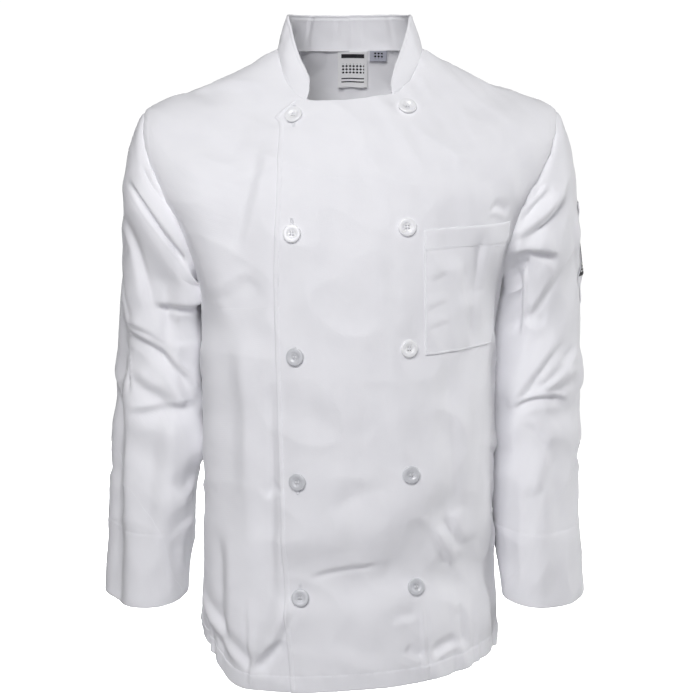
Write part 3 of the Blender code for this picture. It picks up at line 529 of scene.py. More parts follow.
def armhole_fade(turn, up):
    """0 at the armhole, 1 a hand's breadth away, so that body and sleeve meet on one line."""
    side = np.abs(np.abs(np.angle(np.exp(1j * turn))) - math.pi / 2)
    distance = np.hypot(side / ARMHOLE_CUT, (up - ARMHOLE_MIDDLE) / ARMHOLE_REACH)
    return ease((distance - 1) / ARMHOLE_FADE)


def hem_rise(turn, up):
    """Small gathers along the hem, unevenly spaced and of uneven height."""
    degrees = np.degrees(turn) % 360
    rise = np.zeros(np.shape(degrees))
    for run in HEM_GATHERS:
        share = np.minimum(((degrees - run.start) % 360) / (run.stop - run.start), 1)
        uneven = share + 0.05 * np.sin(17 * share) * np.sin(np.pi * share)
        waves = np.sin(2 * np.pi * run.count * uneven) * (0.75 + 0.25 * np.sin(11 * share))
        rise += run.depth * np.sqrt(np.sin(np.pi * share).clip(0)) * waves
    return rise * (1 - ease(up / GATHER_UP))


def lap_rise(turn, up):
    """Height of the lapped front above the plain body."""
    lap_end = read_table(LAP_END, up).x
    across = body_skin(turn, up)[..., 0]
    height = LAP_TOP + (LAP - LAP_TOP) * ease((LAP_TOP_UP - up) / LAP_TOP_EASE)
    return height * (1 - ease((across - lap_end) / LAP_EASE))


def normals_of(surface, first, second):
    """Outward unit normals of a surface function by small steps in its two arguments."""
    step = 1e-4
    d_first = surface(first + step, second) - surface(first - step, second)
    d_second = surface(first, second + step) - surface(first, second - step)
    normal = np.cross(d_first, d_second)
    return normal / np.linalg.norm(normal, axis=-1, keepdims=True)


def body_cloth(turn, up, out):
    """Point on the draped and creased body, moved out by so many millimetres."""
    turn, up = np.broadcast_arrays(np.asarray(turn, float), np.asarray(up, float))
    points = body_skin(turn, up)
    normals = normals_of(body_skin, turn, np.clip(up, EDGE_SHARE, 1 - EDGE_SHARE))
    rise = fold_rise(points, normals, BODY_FOLDS) + crease_rise(points, normals, BODY_CREASES)
    rise = rise * armhole_fade(turn, up) + hem_rise(turn, up)
    return points + normals * (rise + out)[..., None]


def armhole_turn_up(around, side, spread=1.0):
    """Body angle and share up of the armhole, or of a like line outside it, round the sleeve."""
    up = ARMHOLE_MIDDLE + spread * ARMHOLE_REACH * np.cos(around)
    turn = side * (math.pi / 2 - spread * ARMHOLE_CUT * np.sin(around))
    return turn, up


def sleeve_skin(around, along, side):
    """Point on the plain sleeve; around is 0 at the outer line and a quarter turn at the front."""
    row = read_table(SLEEVE, along)
    reach = signed_power(np.cos(around), 2 / row.square)
    ahead = np.sin(around)
    x = (row.outer_x + row.inner_x) / 2 + (row.outer_x - row.inner_x) / 2 * reach
    y = row.mid_y - row.half_depth * signed_power(ahead, 2 / row.square)
    z = (row.outer_z + row.inner_z) / 2 + (row.outer_z - row.inner_z) / 2 * reach
    z = z - row.front_dip * ahead
    if side < 0:
        x = x + RIGHT_SWING * ease((SWING_TOP - z) / (SWING_TOP - SWING_LOW))
    tube = np.stack([side * x, y, z], -1)
    root = body_skin(*armhole_turn_up(around, side))
    blend = ease(along / CAP_BLEND)[..., None]
    return root * (1 - blend) + tube * blend


def sleeve_cloth(around, along, out, side):
    """Point on the draped and creased sleeve, moved out by so many millimetres."""
    around, along = np.broadcast_arrays(np.asarray(around, float), np.asarray(along, float))
    points = sleeve_skin(around, along, side)
    inner_along = np.clip(along, EDGE_SHARE, 1 - EDGE_SHARE)
    normals = side * normals_of(lambda a, s: sleeve_skin(a, s, side), around, inner_along)
    hand = "left" if side > 0 else "right"
    rise = fold_rise(points, normals, SLEEVE_FOLDS[hand])
    rise += crease_rise(points, normals, SLEEVE_CREASES[hand])
    return points + normals * (rise * ease(along / SLEEVE_FADE) + out)[..., None]


# ---------------------------------------------------------------- cloth panels
# A panel is a grid of points on the cloth's right side, its rows along the hem or round the sleeve
Panel = namedtuple("Panel", "name points normals across above closed")


def ruler(points, axis):
    """Distance run along a grid's rows or columns."""
    steps = np.linalg.norm(np.diff(points, axis=axis), axis=-1)
    start = np.zeros_like(np.take(steps, [0], axis=axis))
    return np.concatenate([start, np.cumsum(steps, axis=axis)], axis=axis)


def graded(length, marks, cell=CELL, fine=CELL_FINE, reach=3.0):
    """Places along a length: fine cells within reach of the marks, plain cells elsewhere."""
    run = np.linspace(0, length, int(length * SAMPLES_A_MM))
    near = np.max([bump_at(run - mark, reach) for mark in marks], axis=0)
    count = ruler((np.cumsum(1 / (cell + (fine - cell) * near)) * (run[1] - run[0]))[:, None], 0)
    wanted = np.linspace(0, count[-1], int(math.ceil(count[-1])) + 1)
    return np.interp(wanted, count, run)


def grid_normals(points, closed):
    """Outward unit normals of a grid of points; a closed one joins its last column to its first."""
    if closed:
        ahead = np.concatenate([points[:, -2:-1], points, points[:, 1:2]], axis=1)
        d_across = (ahead[:, 2:] - ahead[:, :-2]) / 2
    else:
        d_across = np.gradient(points, axis=1)
    d_above = np.gradient(points, axis=0)
    normal = np.cross(d_across, d_above)
    return normal / np.maximum(np.linalg.norm(normal, axis=-1, keepdims=True), 1e-9)


def distance_to(points, line):
    """Shortest distance from each grid point to a line of points."""
    nearest = [np.linalg.norm(row[:, None] - line[None], axis=-1).min(axis=1) for row in points]
    return np.array(nearest)


def make_panel(name, points, rise, closed=False):
    """The panel's grid after its sewing has raised or sunk the cloth by rise."""
    normals = grid_normals(points, closed)
    points = points + normals * rise[..., None]
    normals = grid_normals(points, closed)
    return Panel(name, points, normals, ruler(points, 1), ruler(points, 0), closed)


def side_turn(up):
    """Angle at which a front panel ends: the side seam, the armhole or the shoulder seam."""
    hole = np.sqrt(np.maximum(0, 1 - ((up - ARMHOLE_MIDDLE) / ARMHOLE_REACH) ** 2))
    return math.pi / 2 - ARMHOLE_CUT * hole


def front_edge(table, up):
    """Angle of a front's edge from its table of places across."""
    return turn_at(read_table(table, up).x, np.minimum(up, 1 - FLAP_DROP))


def front_top(side, turn):
    """A front's top edge as a share up: the neckline, then below it past the collar's end."""
    start = turn_at(COLLAR_FRONT_X[0 if side > 0 else 1], 1.0)
    return 1 - FLAP_DROP * ease(side * (start - turn) / FLAP_TURN)


def body_levels(cell):
    """Shares up of a body panel's rows."""
    ups = np.linspace(0, 1, 900)
    height = ruler(body_skin(np.full(900, 0.8), ups)[:, None], 0)[:, 0]
    marks = [0, HEM_TURN, height[-1] - NECK_TURN, height[-1]]
    corners = [float(np.interp(share, ups, height)) for share in (ARMPIT, SHOULDER)]
    return np.interp(graded(height[-1], marks + corners, cell), height, ups)


def body_grid(first_edge, last_edge, top_of, out_of, edge_marks, cell=CELL):
    """Points of a body panel, its columns spread between its two edges.

    first_edge and last_edge give angles at a share up, top_of the top's share up at an angle, and
    out_of the height above the plain body; columns lie closer at edge_marks, None the last edge.
    """
    ups = body_levels(cell)
    samples = np.linspace(0, 1, 500)
    turns = first_edge(ups)[:, None] + (last_edge(ups) - first_edge(ups))[:, None] * samples

    def trimmed(turn):
        share = np.clip((ups[:, None] - SHOULDER) / (1 - SHOULDER), 0, 1)
        return ups[:, None] - share * (1 - top_of(turn))

    run = ruler(body_skin(turns, trimmed(turns)), 1)
    width = float(np.median(run[:, -1]))
    places = graded(width, [width if mark is None else mark for mark in edge_marks], cell) / width
    turn = np.array([np.interp(places * reach[-1], reach, row) for reach, row in zip(run, turns)])
    up = trimmed(turn)
    return body_cloth(turn, up, out_of(turn, up))


def body_seams():
    """The lines that panels meet on, by name."""
    below = np.linspace(0, ARMPIT, 240)
    over = np.linspace(SHOULDER, 1, 90)
    round_hole = np.linspace(0, 2 * math.pi, 300)
    neck = np.linspace(-math.pi, math.pi, 400)
    lines = {"neck": body_cloth(neck, 1.0, 0.0)}
    for name, side in (("left", 1), ("right", -1)):
        lines[name + "_side"] = body_cloth(np.full(240, side * math.pi / 2), below, 0.0)
        lines[name + "_shoulder"] = body_cloth(np.full(90, side * math.pi / 2), over, 0.0)
        lines[name + "_armhole"] = body_cloth(*armhole_turn_up(round_hole, side), 0.0)
    return lines


def seam_rise(distance, under_width, seed, run):
    """A sewn seam: a groove, its allowance felt beneath the cloth, and slight puckers.

    Each number is a height, a half width or a distance in millimetres, as in turned_rise.
    """
    groove = -0.75 * bump_at(distance, 1.1)
    allowance = 0.32 * ease(distance / 1.2) * ease((under_width - distance) / 1.5)
    pucker = 0.28 * bump_at(distance - 3, 5) * ripple(run, 0 * run, 9, seed)
    return groove + allowance + pucker


def turned_rise(distance, turn, seed, run, pull=0.35):
    """A turned edge: rounded, one layer thicker up to its stitching, puckered along it."""
    roll = -0.6 * bump_at(distance, 0.9)
    layer = 0.45 * ease((turn + 1.2 - distance) / 1.6)
    stitched = -0.45 * bump_at(distance - turn, 0.9)
    pucker = pull * bump_at(distance - turn, 7) * ripple(run, 0.35 * distance, 11, seed)
    return roll + layer + stitched + pucker


def slack_rise(points, seed):
    """The cloth's own slackness: faint long ripples, longer down than across."""
    long = ripple(points[..., 0] * 1.5 + points[..., 1] * 1.5, points[..., 2] * 0.55, 46, seed)
    short = ripple(points[..., 0] + points[..., 1], points[..., 2] * 0.7, 19, seed + 2.0)
    ridges = 1 - 2 * np.abs(ripple(points[..., 0] + points[..., 1], points[..., 2], 75, seed + 4.0))
    return 0.5 * long + 0.08 * short + 0.9 * ridges


def make_body_panel(name, points, seams, met, seeds, pull, under=9):
    """A front or the back: its hem turned up, and its edges in the seams that it meets.

    The seeds are for its hem, then for its turned front edge if it has one, then for its seams.
    """
    across, above = ruler(points, 1), ruler(points, 0)
    rise = slack_rise(points, 1.0)
    rise += turned_rise(above, HEM_TURN, seeds[0], across, pull)
    for seed in seeds[1:-1]:
        rise += turned_rise(across, FRONT_TURN, seed, above, 0.15)
    for k, seam in enumerate(met):
        rise += seam_rise(distance_to(points, seams[seam]), under if k else 0, seeds[-1] + k, above)
    return make_panel(name, points, rise)


def make_left_front(seams):
    points = body_grid(lambda up: front_edge(FREE_EDGE, up), side_turn,
                       lambda turn: front_top(1, turn), lap_rise, (0, FRONT_TURN, None))
    met = ("left_side", "left_shoulder", "left_armhole")
    return make_body_panel("left_front", points, seams, met, (2.0, 3.0, 4.0), 0.55)


def make_right_front(seams):
    points = body_grid(lambda up: -side_turn(up), lambda up: front_edge(UNDER_EDGE, up),
                       lambda turn: front_top(-1, turn), lambda turn, up: 0 * turn, (0, None))
    met = ("right_side", "right_shoulder", "right_armhole")
    return make_body_panel("right_front", points, seams, met, (7.0, 8.0), 0.55)


def make_back(seams):
    points = body_grid(lambda up: math.pi - side_turn(up), lambda up: math.pi + side_turn(up),
                       lambda turn: 1 + 0 * turn, lambda turn, up: 0 * turn, (0, None),
                       BACK_CELL)
    met = [name for name in seams if name != "neck"]
    return make_body_panel("back", points, seams, met, (11.0, 13.0), 0.5, under=0)


def make_sleeve(side):
    """A sleeve: armhole in the first row, cuff in the last."""
    name = "left_sleeve" if side > 0 else "right_sleeve"
    alongs = np.linspace(0, 1, 700)
    outer, inner = (ruler(sleeve_skin(np.full(700, angle), alongs, side)[:, None], 0)[:, 0]
                    for angle in (0.0, math.pi))
    length = (outer + inner) / 2
    marks = (0, length[-1] - CUFF_TURN, length[-1])
    along = np.interp(graded(length[-1], marks, SLEEVE_CELL), length, alongs)[:, None]
    turns = np.linspace(0, 2 * math.pi, 3000)
    crowd = turns + SLEEVE_CROWDING * (1 - np.cos(turns))
    around = np.interp(np.linspace(0, 2 * math.pi, SLEEVE_COLUMNS), crowd, turns)[None] * side
    points = sleeve_cloth(around, along, 0.0, side)
    run, down = ruler(points, 1), ruler(points, 0)
    wider = armhole_turn_up(around[0], side, TUCK_SPREAD)
    inward = body_cloth(*wider, -TUCK_UNDER * CLOTH) - points[0]
    inward /= np.linalg.norm(inward, axis=-1, keepdims=True)
    points = points + inward * (SLEEVE_TUCK * bump_at(down, 2.5))[..., None]
    from_cuff = down[-1] - down
    rise = slack_rise(points, 5.0 + side)
    rise += turned_rise(from_cuff, CUFF_TURN, 15.0, run, 0.3)
    fullness, groove = 1.1 * bump_at(down - 9, 7), 1.6 * bump_at(down, 2.0)
    rise += fullness - groove
    seam = int(np.argmin(np.abs(np.abs(around[0]) - math.pi)))
    under = np.abs(run - run[:, seam:seam + 1])
    rise += seam_rise(under, 0, 19.0 + side, down)
    return make_panel(name, points, rise, closed=True)


def make_collar():
    """The stand collar, sewn over the neckline, leaning in toward the neck."""
    fine = np.linspace(COLLAR[0].turn, COLLAR[-1].turn, 1500)
    base = body_cloth(np.radians(fine), 1.0, 0.0)
    run = ruler(base[:, None], 0)[:, 0]
    places = graded(run[-1], (0, COLLAR_ROWS, run[-1] - COLLAR_ROWS, run[-1]), COLLAR_CELL,
                    PATCH_CELL_FINE)
    degrees = np.interp(places, run, fine)
    row = read_table(COLLAR, degrees)
    turn = np.radians(degrees)
    lap = np.where(turn < math.pi, lap_rise(turn, np.ones(turn.shape)), 0)
    seat = body_cloth(turn, 1.0, lap + 0.2)
    inward = -seat * (1, 1, 0)
    inward /= np.linalg.norm(inward, axis=-1, keepdims=True)
    top = max(section.height for section in COLLAR)
    shares = graded(top, (0, top - COLLAR_ROWS, top), COLLAR_CELL, PATCH_CELL_FINE)
    shares = shares[:, None, None] / top
    lean = inward * row.lean[:, None] * shares**1.3
    points = seat + lean + (0, 0, 1) * (row.height[:, None] * shares - COLLAR_TUCK)
    across, above = ruler(points, 1), ruler(points, 0)
    out = np.zeros(across.shape)
    toward_top = 0.4 + 0.6 * shares[..., 0]
    for dent in COLLAR_DENTS:
        out += dent.depth * bump_at(degrees - dent.turn, dent.half_width) * toward_top
    out += 0.3 * ripple(across, above, 24, 31.0)
    out += turned_rise(above[-1] - above, COLLAR_ROWS, 32.0, across, 0.12)
    for seed, inset in ((33.0, across), (34.0, across[:, -1:] - across)):
        out += turned_rise(inset, COLLAR_ROWS, seed, above, 0.1)
    return make_panel("collar", points, out)


def patch_rise(points, hem, seed):
    """A patch: its edges turned under and stitched, its top hemmed and standing a little open."""
    across, above = ruler(points, 1), ruler(points, 0)
    from_top = above[-1] - above
    sides = ((across, PATCH_ROW, above), (across[:, -1:] - across, PATCH_ROW, above),
             (above, PATCH_ROW, across), (from_top, hem, across))
    rise = sum(turned_rise(inset, turn, seed + k, run, 0.12)
               for k, (inset, turn, run) in enumerate(sides))
    middle = np.sin(np.pi * np.clip(across / across[:, -1:], 0, 1))
    return rise + 0.9 * middle * bump_at(from_top, 9)


def make_chest_pocket(cloth_below):
    edges = np.linspace(0, 1, 200)
    height = ruler(body_skin(0.5, POCKET_BOTTOM + edges * (POCKET_TOP - POCKET_BOTTOM))[:, None], 0)
    height = height[:, 0]
    places = graded(height[-1], (0, PATCH_ROW, height[-1] - POCKET_HEM, height[-1]), PATCH_CELL,
                    PATCH_CELL_FINE)
    up = POCKET_BOTTOM + np.interp(places, height, edges)[:, None] * (POCKET_TOP - POCKET_BOTTOM)
    share = graded(POCKET_WIDTH, (0, PATCH_ROW, POCKET_WIDTH - PATCH_ROW, POCKET_WIDTH),
                   PATCH_CELL, PATCH_CELL_FINE) / POCKET_WIDTH
    left, right = (turn_at(read_table(side, up).x, up) for side in (POCKET_LEFT, POCKET_RIGHT))
    turn = left + (right - left) * share
    points = lay_on(cloth_below, body_cloth(turn, up, lap_rise(turn, up)), POCKET_OUT)
    return make_panel("chest_pocket", points, patch_rise(points, POCKET_HEM, 41.0))


def sleeve_patch_grid(place, cell):
    """Points of a patch on the wearer's left sleeve, its top edge in the last row."""
    along = np.linspace(place.stop, place.start, 120)[:, None]
    around = np.radians(np.linspace(place.front, place.rear, 90))[None]
    rough = sleeve_cloth(around, along, 0.0, 1)
    height = ruler(rough, 0)[:, 45]
    width = ruler(rough, 1)[60]
    rows = graded(height[-1], (0, PATCH_ROW, height[-1]), cell, PATCH_CELL_FINE)
    marks = (0, PATCH_ROW, width[-1] - PATCH_ROW, width[-1])
    cols = graded(width[-1], marks, cell, PATCH_CELL_FINE)
    rows, cols = np.interp(rows, height, along[:, 0]), np.interp(cols, width, around[0])
    return sleeve_cloth(cols[None, ::-1], rows[:, None], 0.0, 1)


def make_sleeve_pocket(cloth_below):
    points = lay_on(cloth_below, sleeve_patch_grid(SLEEVE_POCKET, PATCH_CELL), POCKET_OUT)[:, ::-1]
    return make_panel("sleeve_pocket", points, patch_rise(points, SLEEVE_POCKET_HEM, 51.0))


def make_sleeve_label(cloth_below):
    points = lay_on(cloth_below, sleeve_patch_grid(SLEEVE_LABEL, LABEL_CELL), LABEL_OUT)[:, ::-1]
    return make_panel("sleeve_label", points, -0.3 * edge_nearness(points, 1.0))


def edge_nearness(points, half_width):
    """1 at a grid's four edges, falling to 0 inside."""
    across, above = ruler(points, 1), ruler(points, 0)
    insets = (across, across[:, -1:] - across, above, above[-1] - above)
    return bump_at(np.min(insets, axis=0), half_width)


def make_back_label(name, place, curl):
    """A label inside the back: sewn in the neck seam, its foot curling off the cloth."""
    up = np.linspace(place.low, LABEL_TOP, 30)[:, None]
    share = np.linspace(0, 1, 26)
    turn = math.pi - turn_at(place.left + (place.right - place.left) * share[None], up)
    wave = 1 + 0.35 * np.cos(2.5 * math.pi * share)
    lift = curl * ((LABEL_TOP - up) / (LABEL_TOP - place.low)) ** 2 * wave
    points = body_cloth(turn, up, -(CLOTH + LABEL_OUT) - lift)
    return make_panel(name, points, np.zeros(points.shape[:2]))


# ---------------------------------------------------------------- meshes
def add_piece(name, data, finish):
    """A piece of the jacket, carried by its one body."""
    data.materials.append(finish)
    data.shade_smooth()
    piece = bpy.data.objects.new(name, data)
    bpy.context.scene.collection.objects.link(piece)
    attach(piece, "root")
    return piece


def cells_of(grid, flip=False):
    """The four corners of each cell of a grid, in order round the cell."""
    a, b, c, d = grid[:-1, :-1], grid[:-1, 1:], grid[1:, 1:], grid[1:, :-1]
    corners = np.stack((a, d, c, b) if flip else (a, b, c, d), 2)
    return corners.reshape(-1, 4, *grid.shape[2:])


def cloth_mesh(panel, wall):
    """The panel as cloth of this thickness, with two sides and rounded edges."""
    rows, cols = panel.points.shape[:2]
    used = cols - 1 if panel.closed else cols
    outer = panel.points[:, :used].reshape(-1, 3)
    inner = (panel.points - panel.normals * wall)[:, :used].reshape(-1, 3)
    verts = [outer, inner]
    index = np.arange(rows * used).reshape(rows, used)
    if panel.closed:
        index = np.concatenate([index, index[:, :1]], axis=1)
    inside = index + rows * used
    lattice = np.stack([panel.across, panel.above], -1) * MM
    quads = [cells_of(index), cells_of(inside, True)]
    places = [cells_of(lattice), cells_of(lattice, True)]
    # each edge, the row or column next to it, and whether its cells run the other way round
    edges = [(np.s_[0], np.s_[1], False), (np.s_[-1], np.s_[-2], True)]
    if not panel.closed:
        edges += [(np.s_[:, 0], np.s_[:, 1], True), (np.s_[:, -1], np.s_[:, -2], False)]
    count = 2 * rows * used
    both_sides = np.concatenate(verts)
    for edge, next_in, flip in edges:
        first, second = index[edge], inside[edge]
        away = panel.points[edge] - panel.points[next_in]
        away = away / np.maximum(np.linalg.norm(away, axis=-1, keepdims=True), 1e-9)
        gap = both_sides[first] - both_sides[second]
        gap = np.linalg.norm(gap, axis=-1, keepdims=True)
        middle = (both_sides[first] + both_sides[second]) / 2 + away * gap * EDGE_ROUND
        size = used if panel.closed else len(first)
        verts.append(middle[:size])
        line = count + np.arange(size)
        if panel.closed:
            line = np.append(line, line[0])
        count += size
        quads.append(cells_of(np.stack([second, line, first]), flip))
        places.append(cells_of(np.stack([lattice[edge]] * 3), flip))
    data = bpy.data.meshes.new(panel.name + "_cloth")
    data.from_pydata((np.concatenate(verts) * MM).tolist(), [], np.concatenate(quads).tolist())
    layer = data.uv_layers.new(name="cloth")
    layer.data.foreach_set("uv", np.concatenate(places).ravel().astype(np.float32))
    data.update()
    return data


def tree_of(panel):
    """The panel's right side, to lay other pieces on."""
    index = np.arange(panel.across.size).reshape(panel.across.shape)
    return BVHTree.FromPolygons(panel.points.reshape(-1, 3).tolist(), cells_of(index).tolist())


def lay_on(tree, points, out):
    """Points moved onto the cloth, then out from it by so many millimetres."""
    laid = []
    for point in points.reshape(-1, 3):
        spot, normal, _, _ = tree.find_nearest(Vector(point))
        laid.append(spot + normal * out)
    return np.array(laid).reshape(points.shape)


def line_through(places, marks, points, normals):
    """A line across a grid's columns, passing each where its places reach the column's mark."""
    line, facing = [], []
    for c, mark in enumerate(marks):
        at = np.interp(mark, places[:, c], np.arange(len(places)))
        low = min(int(at), len(places) - 2)
        part = at - low
        line.append(points[low, c] * (1 - part) + points[low + 1, c] * part)
        facing.append(normals[low, c])
    return np.array(line), np.array(facing)


def line_along_hem(panel, above):
    """A line at one height over the panel's first row, with the cloth's normals."""
    marks = [above] * panel.above.shape[1]
    return line_through(panel.above, marks, panel.points, panel.normals)


def line_along_edge(panel, inset, from_last=False):
    """A line at one distance from the panel's first or last column."""
    marks = panel.across[:, -1] - inset if from_last else [inset] * len(panel.across)
    return line_through(panel.across.T, marks, panel.points.swapaxes(0, 1),
                        panel.normals.swapaxes(0, 1))


def front_at(tree, x, z):
    """Spot and normal of the cloth at a place seen from the front."""
    return tree.ray_cast(Vector((x, -300, z)), Vector((0, 1, 0)))[:2]


def seat_on(tree, x, z):
    """Frame of a button on the front at this place, flat on the cloth."""
    reach = BUTTON_WIDTH / 2
    turns = np.linspace(0, 2 * math.pi, 13)[:-1]
    spots = [(x, z)] + [(x + reach * math.cos(a), z + reach * math.sin(a)) for a in turns]
    hits = [front_at(tree, *spot)[0] for spot in spots]
    centre = sum(hits[1:], Vector()) / len(turns)
    axis_x = (hits[1] - hits[7]).normalized()
    axis_z = axis_x.cross(hits[4] - hits[10]).normalized()
    height = max((hit - centre).dot(axis_z) for hit in hits)
    seat = Matrix((axis_x, axis_z.cross(axis_x), axis_z)).transposed().to_4x4()
    seat.translation = centre + axis_z * (height + BUTTON_GAP)
    return seat


def button_mesh():
    """A turned button, before its four holes are drilled."""
    mesh = bmesh.new()
    turns = np.arange(BUTTON_STEPS) * 2 * math.pi / BUTTON_STEPS
    rings = [[mesh.verts.new((radius * math.cos(a), radius * math.sin(a), height))
              for a in (turns if radius else turns[:1])] for radius, height in BUTTON_TURNING]
    for upper, lower in zip(rings, rings[1:]):
        for k in range(BUTTON_STEPS):
            after = (k + 1) % BUTTON_STEPS
            corners = [upper[k % len(upper)], lower[k % len(lower)],
                       lower[after % len(lower)], upper[after % len(upper)]]
            mesh.faces.new(list(dict.fromkeys(corners)))
    bmesh.ops.recalc_face_normals(mesh, faces=mesh.faces)
    data = bpy.data.meshes.new("button")
    mesh.to_mesh(data)
    mesh.free()
    return data


def drill(data):
    """Drills the four holes through the middle."""
    blank = bpy.data.objects.new("button_blank", data)
    bpy.context.scene.collection.objects.link(blank)
    drills = bmesh.new()
    for sx in (-1, 1):
        for sy in (-1, 1):
            place = Matrix.Translation((sx * BUTTON_HOLES_OUT, sy * BUTTON_HOLES_OUT, 1.0))
            bmesh.ops.create_cone(drills, cap_ends=True, segments=16, radius1=BUTTON_HOLE,
                                  radius2=BUTTON_HOLE, depth=DRILL_LENGTH, matrix=place)
    cutter_data = bpy.data.meshes.new("drills")
    drills.to_mesh(cutter_data)
    drills.free()
    cutter = bpy.data.objects.new("drills", cutter_data)
    bpy.context.scene.collection.objects.link(cutter)
    cut = blank.modifiers.new("holes", "BOOLEAN")
    cut.object = cutter
    cut.solver = "EXACT"
    bpy.context.view_layer.update()
    shown = blank.evaluated_get(bpy.context.evaluated_depsgraph_get())
    drilled = bpy.data.meshes.new_from_object(shown)
    for spent in (blank, cutter):
        bpy.data.objects.remove(spent, do_unlink=True)
    return drilled


def make_button(name, seat, drilled, finish):
    """A button on its seat, with thread through its holes."""
    data = drilled.copy()
    data.transform(Matrix.Scale(MM, 4) @ seat)
    data.materials.clear()
    piece = add_piece(name + "_moulded", data, finish)
    edges = data.attributes.get("sharp_face")
    if edges:
        data.attributes.remove(edges)
    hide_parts(name)
    out = np.tile(np.array((seat.to_3x3() @ Vector((0, 0, 1))).normalized()), (5, 1))
    along = np.linspace(-THREAD_HALF, THREAD_HALF, 5)
    heights = BUTTON_FLOOR + THREAD_BOW * np.cos(along / BUTTON_HOLES_OUT * 1.2)
    for side in (-1, 1):
        for strand in STRANDS:
            across = side * BUTTON_HOLES_OUT + strand
            line = [seat @ Vector((across, y, height)) for y, height in zip(along, heights)]
            add_rings("buttons", np.array(line)[None], out[None])


SEWN = {}                  # every row of stitching, by the piece that it is sewn in


def add_rings(piece, middle, out):
    """Threads of a piece: rings round the stations of each one's middle line."""
    ahead = middle[:, -1:] - middle[:, :1]
    ahead = ahead / np.maximum(np.linalg.norm(ahead, axis=-1, keepdims=True), 1e-9)
    beside = np.cross(ahead, out)
    turns = (np.arange(THREAD_SIDES) * 2 * math.pi / THREAD_SIDES)[:, None]
    ring = (middle[:, :, None] + THREAD / 2 * (
        beside[:, :, None] * np.cos(turns) + out[:, :, None] * np.sin(turns)))
    SEWN.setdefault(piece, []).append(ring)


def lay_thread(tree, across, height, flank, crest):
    """One thread across a buttonhole: its flanks and crest this high, its ends in the cloth."""
    hits = [front_at(tree, x, height) for x in across]
    spots = np.array([hit[0] for hit in hits])
    out = np.array([hit[1] for hit in hits])
    lift = np.array([-0.1, flank, crest, flank, -0.1])
    add_rings("left_front", (spots + out * lift[:, None])[None], out[None])


def make_buttonhole(tree, x, z):
    """A worked buttonhole: a row of close stitches across each lip, and a bar at each end."""
    for side in (-1, 1):
        for height in np.arange(-BUTTONHOLE / 2, BUTTONHOLE / 2, BUTTONHOLE_PITCH):
            lay_thread(tree, x + side * LIP_STATIONS, z + height, 0.30, 0.38)
    for end in (-1, 1):
        for step in (0.0, 0.5, 1.0):
            height = z + end * (BUTTONHOLE / 2 + step)
            lay_thread(tree, x + LIP_STATIONS[-1] * np.linspace(-1, 1, 5), height, 0.35, 0.42)


def sew(piece, line, facing):
    """Lock stitches along a line, each a short thread that dips into the cloth at its ends."""
    run = ruler(line[:, None], 0)[:, 0]
    starts = np.arange(0.8, run[-1] - STITCH_LENGTH, STITCH_PITCH)
    at = starts[:, None] + STITCH_STATIONS * STITCH_LENGTH
    spots = np.stack([np.interp(at, run, line[:, k]) for k in range(3)], -1)
    out = np.stack([np.interp(at, run, facing[:, k]) for k in range(3)], -1)
    out /= np.linalg.norm(out, axis=-1, keepdims=True)
    add_rings(piece, spots + out * STITCH_HEIGHTS[:, None], out)


def make_stitching(finish):
    """All the rows of stitching in a piece as one mesh of threads."""
    for piece, runs in SEWN.items():
        rings = np.concatenate(runs)
        count, stations, sides = rings.shape[:3]
        index = np.arange(count * stations * sides).reshape(count, stations, sides)
        after = np.roll(index, -1, axis=2)
        quads = np.stack([index[:, :-1], after[:, :-1], after[:, 1:], index[:, 1:]], -1)
        data = bpy.data.meshes.new(piece + "_stitching")
        data.from_pydata((rings.reshape(-1, 3) * MM).tolist(), [], quads.reshape(-1, 4).tolist())
        add_piece(piece + "_stitching", data, finish)


# ---------------------------------------------------------------- finishes
WAVE_BANDS = 3.2           # a wave pattern's bands to a metre, at a scale of one


def linear(colour):
    """An sRGB hex colour as linear values with alpha."""
    channels = [int(colour[k:k + 2], 16) / 255 for k in (1, 3, 5)]
    values = [c / 12.92 if c <= 0.04045 else ((c + 0.055) / 1.055) ** 2.4 for c in channels]
    return (*values, 1)


def add_node(tree, kind, inputs=None, **settings):
    """One node with its settings; each of its inputs is given a value or another node's output."""
    node = tree.nodes.new(kind)
    for key, value in settings.items():
        setattr(node, key, value)
    for key, given in (inputs or {}).items():
        if isinstance(given, bpy.types.NodeSocket):
            tree.links.new(given, node.inputs[key])
        else:
            node.inputs[key].default_value = given
    return node


def new_finish(name, colour, feel):
    """A finish of this colour, with the surface's other values in feel."""
    finish = bpy.data.materials.new(name)
    finish.use_nodes = True
    shader = finish.node_tree.nodes["Principled BSDF"]
    shader.inputs["Base Color"].default_value = linear(colour)
    for key, value in feel.items():
        shader.inputs[key].default_value = value
    finish.diffuse_color = linear(colour)
    return finish, finish.node_tree, shader


